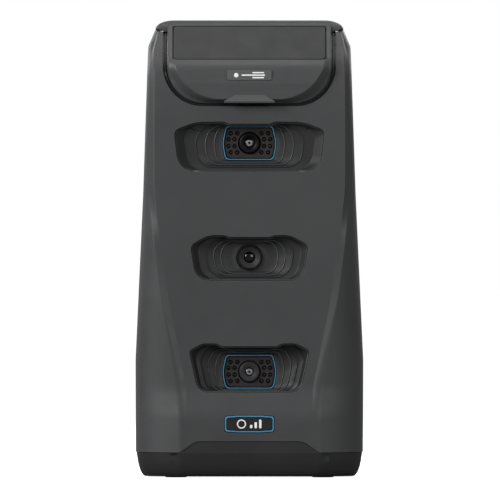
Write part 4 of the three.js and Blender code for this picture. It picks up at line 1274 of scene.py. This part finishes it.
def ethernet_jack():
    low, high = spot("ethernet_jack")
    x, z, _, _ = middle("ethernet_jack")
    shell = bevelled(to_object("network_shell", slab(around("ethernet_jack", 0, 0.5, 3), low.y, high.y)), 0.2)
    for half, bottom, top in JACK_OPENINGS:
        carve(shell, [box_mesh((x - half, low.y + 4, z + bottom), (x + half, high.y + 1, z + top))])
    finished(shell, PLATED, "ethernet_jack")
    places = [x - PIN_PITCH * (PINS - 1) / 2 + step * PIN_PITCH for step in range(PINS)]
    pins = [box_mesh((across - PIN_HALF, low.y + 5, z - 4.4), (across + PIN_HALF, high.y - 3, z - 4.1))
            for across in places]
    piece("network_contacts", joined(*pins), GOLD, slot="steel_parts")


USB_WALL = 0.35


def usb_port():
    low, high = spot("usb_c_port")
    x, z, _, half_height = middle("usb_c_port")
    outline = around("usb_c_port", 0, half_height - 0.02, 10)
    opening = around("usb_c_port", -USB_WALL, half_height - USB_WALL - 0.05, 10)
    shell = to_object("usb_shell", slab(outline, low.y, high.y))
    carve(shell, [slab(opening, low.y + 1, high.y + 1)])
    finished(shell, PLATED, "usb_c_port")
    tongue = to_object("usb_tongue", box_mesh((x - 3, low.y + 1, z - 0.3), (x + 3, high.y - 1.2, z + 0.3)))
    finished(bevelled(tongue, 0.12), BARREL, slot="black_plastic")


INLET = [(0, 0), (4.3, 0), (4.3, TOP - 0.25), (4.05, TOP), (3.1, TOP), (2.9, TOP - 0.3), (2.9, 2), (0, 2)]
INLET_PIN = [(0, 1.5), (0.9, 1.5), (0.9, TOP - 2.6), (0.6, TOP - 2.2), (0, TOP - 2.1)]
KEY = [(0, 0), (6, 0), (6, 1.2), (4.6, 1.2), (4.6, TOP - 0.7), (4.4, TOP - 0.25), (3.9, TOP - 0.02),
       (3.3, TOP - 0.1), (1.5, TOP - 0.3), (0, TOP - 0.35)]
LIGHT_PIPE = [(0, 0), (0.9, 0), (0.9, TOP - 0.4), (0.75, TOP - 0.12), (0.4, TOP - 0.02), (0, TOP)]
SYMBOL_START, SYMBOL_SWEEP = math.radians(125), math.radians(290)


def dc_inlet():
    piece("inlet_socket", revolved("dc_inlet", INLET, 48), BARREL, "dc_inlet")
    piece("inlet_pin", revolved("dc_inlet", INLET_PIN, 24), PLATED, slot="steel_parts")


def power_button():
    """Dished key with the common power symbol: an open ring and a bar."""
    x, z, _, _ = middle("power_button")
    top = spot("power_button")[1].y
    piece("power_key", revolved("power_button", KEY, 56), BUTTON, "power_button", body="button")
    ring = arc((x, z), 1.6, SYMBOL_START, SYMBOL_SWEEP, 24)
    ring += arc((x, z), 1.25, SYMBOL_START + SYMBOL_SWEEP, -SYMBOL_SWEEP, 24)
    bar = rounded_box(0.18, 0.75, 0.15, z + 1.25, x, 3)
    symbol = joined(*(slab(outline, top - 0.4, top - 0.22) for outline in (ring, bar)))
    piece("power_symbol", symbol, GLOWING_WHITE, slot="indicator_white", body="button")


def status_light():
    piece("light_pipe", revolved("status_light", LIGHT_PIPE, 28), GLOWING_WHITE, "status_light")


LOBES = 6


def star(radius, inner, centre):
    """Six-lobed recess of a driver bit."""
    outline = []
    for step in range(LOBES * 8):
        angle = math.tau * step / (LOBES * 8)
        reach = (radius + inner) / 2 + (radius - inner) / 2 * math.cos(LOBES * angle)
        outline.append((centre[0] + reach * math.cos(angle), centre[1] + reach * math.sin(angle)))
    return outline


REAR_SCREW = [(0, 0), (1.1, 0), (1.5, 0.6), (1.5, TOP - 2.2), (2.9, TOP - 2.2), (2.9, TOP - 0.8),
              (2.6, TOP - 0.3), (2.0, TOP - 0.05), (0, TOP)]
BASE_SCREW = [(0, 0), (2.3, 0), (2.9, 0.4), (2.9, 0.7), (1.6, 0.7), (1.6, TOP - 0.6), (1.1, TOP), (0, TOP)]


def screws():
    """Screw heads on the back (axis along the depth) and under the base (upright), each with its recess."""
    for node in REAR_SCREWS:
        x, z, _, _ = middle(node)
        top = spot(node)[1].y
        recess = slab(star(1.5, 1.1, (x, z)), top - 1.2, top + 1)
        head = to_object(node.replace("screw", "screw_head"), revolved(node, REAR_SCREW, 48))
        finished(carve(head, [recess]), STEEL, node)
    for node in BASE_SCREWS:
        low, high = spot(node)
        recess = star(1.4, 1.0, ((low.x + high.x) / 2, (low.y + high.y) / 2))
        head = to_object(node.replace("screw", "screw_head"), revolved(node, BASE_SCREW, 40, vertical=True))
        finished(carve(head, [plate(recess, low.z - 1, low.z + 0.45)]), STEEL, node)


# ------------------------------------------------------------------ carried-over CAD nodes

KEPT = {
    "base_plate": SKIRT, "chassis_spine": ALUMINIUM, "heat_sink": ALUMINIUM, "main_board": BOARD,
    "power_board": BOARD, "wifi_antenna": FILM, "upper_sensor_board": BOARD, "middle_sensor_board": BOARD,
    "lower_sensor_board": BOARD,
}


def repaint_kept_nodes():
    for name, material in KEPT.items():
        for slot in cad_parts[name].material_slots:
            slot.material = material


# ------------------------------------------------------------------ stage


def show_camera(nodes, links, hidden, seen, output):
    """Gives the camera's rays one shader, and light and reflections another."""
    path, mix = nodes.new("ShaderNodeLightPath"), nodes.new("ShaderNodeMixShader")
    links.new(path.outputs["Is Camera Ray"], mix.inputs["Fac"])
    links.new(hidden, mix.inputs[1])
    links.new(seen, mix.inputs[2])
    links.new(mix.outputs["Shader"], nodes[output].inputs["Surface"])


def stage_floor():
    """White floor that takes a faint contact shadow and meets the white surroundings without a line."""
    bpy.ops.mesh.primitive_plane_add(size=80, location=(0, 0, -0.0002))
    floor = bpy.context.object
    floor.name = "studio_floor"
    look = Look("floor_white")
    look.fix(Base_Color=(0.9, 0.9, 0.9, 1), Roughness=0.95, Specular_IOR_Level=0.0)
    look.fix(Emission_Color=(1, 1, 1, 1), Emission_Strength=0.86)
    dim = look.node("BsdfDiffuse", Color=(0.22, 0.22, 0.22, 1))
    show_camera(look.nodes, look.links, dim.outputs["BSDF"], look.shader.outputs["BSDF"], "Material Output")
    floor.data.materials.append(look.made)


def surroundings():
    """Dim studio for the object's light and reflections, plain white where the camera sees past it."""
    world = bpy.data.worlds.new("studio")
    world.use_nodes = True
    bpy.context.scene.world = world
    bpy.context.scene.view_settings.view_transform = "Standard"
    nodes = world.node_tree.nodes
    light, seen = nodes["Background"], nodes.new("ShaderNodeBackground")
    for background, strength in ((light, 0.22), (seen, 1.0)):
        background.inputs["Color"].default_value = (1, 1, 1, 1)
        background.inputs["Strength"].default_value = strength
    show_camera(nodes, world.node_tree.links, light.outputs["Background"], seen.outputs["Background"],
                "World Output")


LIGHT_TARGET = Vector((0, 0, 0.16))


def area_light(name, place, size, power):
    data = bpy.data.lights.new(name, "AREA")
    data.shape, data.size, data.size_y, data.energy = "RECTANGLE", *size, power
    lamp = bpy.data.objects.new(name, data)
    bpy.context.scene.collection.objects.link(lamp)
    lamp.location = place
    lamp.rotation_mode = "QUATERNION"
    lamp.rotation_quaternion = (LIGHT_TARGET - Vector(place)).to_track_quat("-Z", "Y")


def lights():
    area_light("key_upper_left", (-2.1, -1.5, 1.25), (1.0, 1.0), 52)
    area_light("fill_right", (1.3, -2.3, 1.0), (1.2, 1.2), 19)
    area_light("top", (0, -0.2, 2.0), (1.4, 1.0), 11)
    area_light("rear_fill", (0.9, 1.9, 1.2), (1.4, 1.4), 26)
    area_light("rear_left", (-1.4, 1.4, 1.0), (1.0, 1.0), 14)


CAMERA_DISTANCE, CAMERA_HEIGHT, CAMERA_ACROSS, FRAME_WIDTH = 9.0, 0.155, 0.0004, 0.3425


def camera():
    data = bpy.data.cameras.new("camera")
    data.sensor_width = 36
    data.lens = data.sensor_width * CAMERA_DISTANCE / FRAME_WIDTH
    seen = bpy.data.objects.new("camera", data)
    bpy.context.scene.collection.objects.link(seen)
    seen.location = (CAMERA_ACROSS, -CAMERA_DISTANCE, CAMERA_HEIGHT)
    seen.rotation_euler = (math.pi / 2, 0, 0)
    bpy.context.scene.camera = seen


# ------------------------------------------------------------------ build

camera()
surroundings()
stage_floor()
lights()

front_housing()
rear_housing()
parting_seal()
rating_label()
top_cap()
top_panel()
nameplate()
nameplate_mark()
badge()
base_skirt()
feet()
levelling()
for window in WINDOW_CORNERS:
    bezel(window)
    lens(window)
    if window != "middle":
        light_ring(window)
        led_plate(window)
        led_array(window)
        glare_ring(window)
lens_cone()
hood_gasket()
io_panel()
ethernet_jack()
usb_port()
dc_inlet()
power_button()
status_light()
screws()
repaint_kept_nodes()
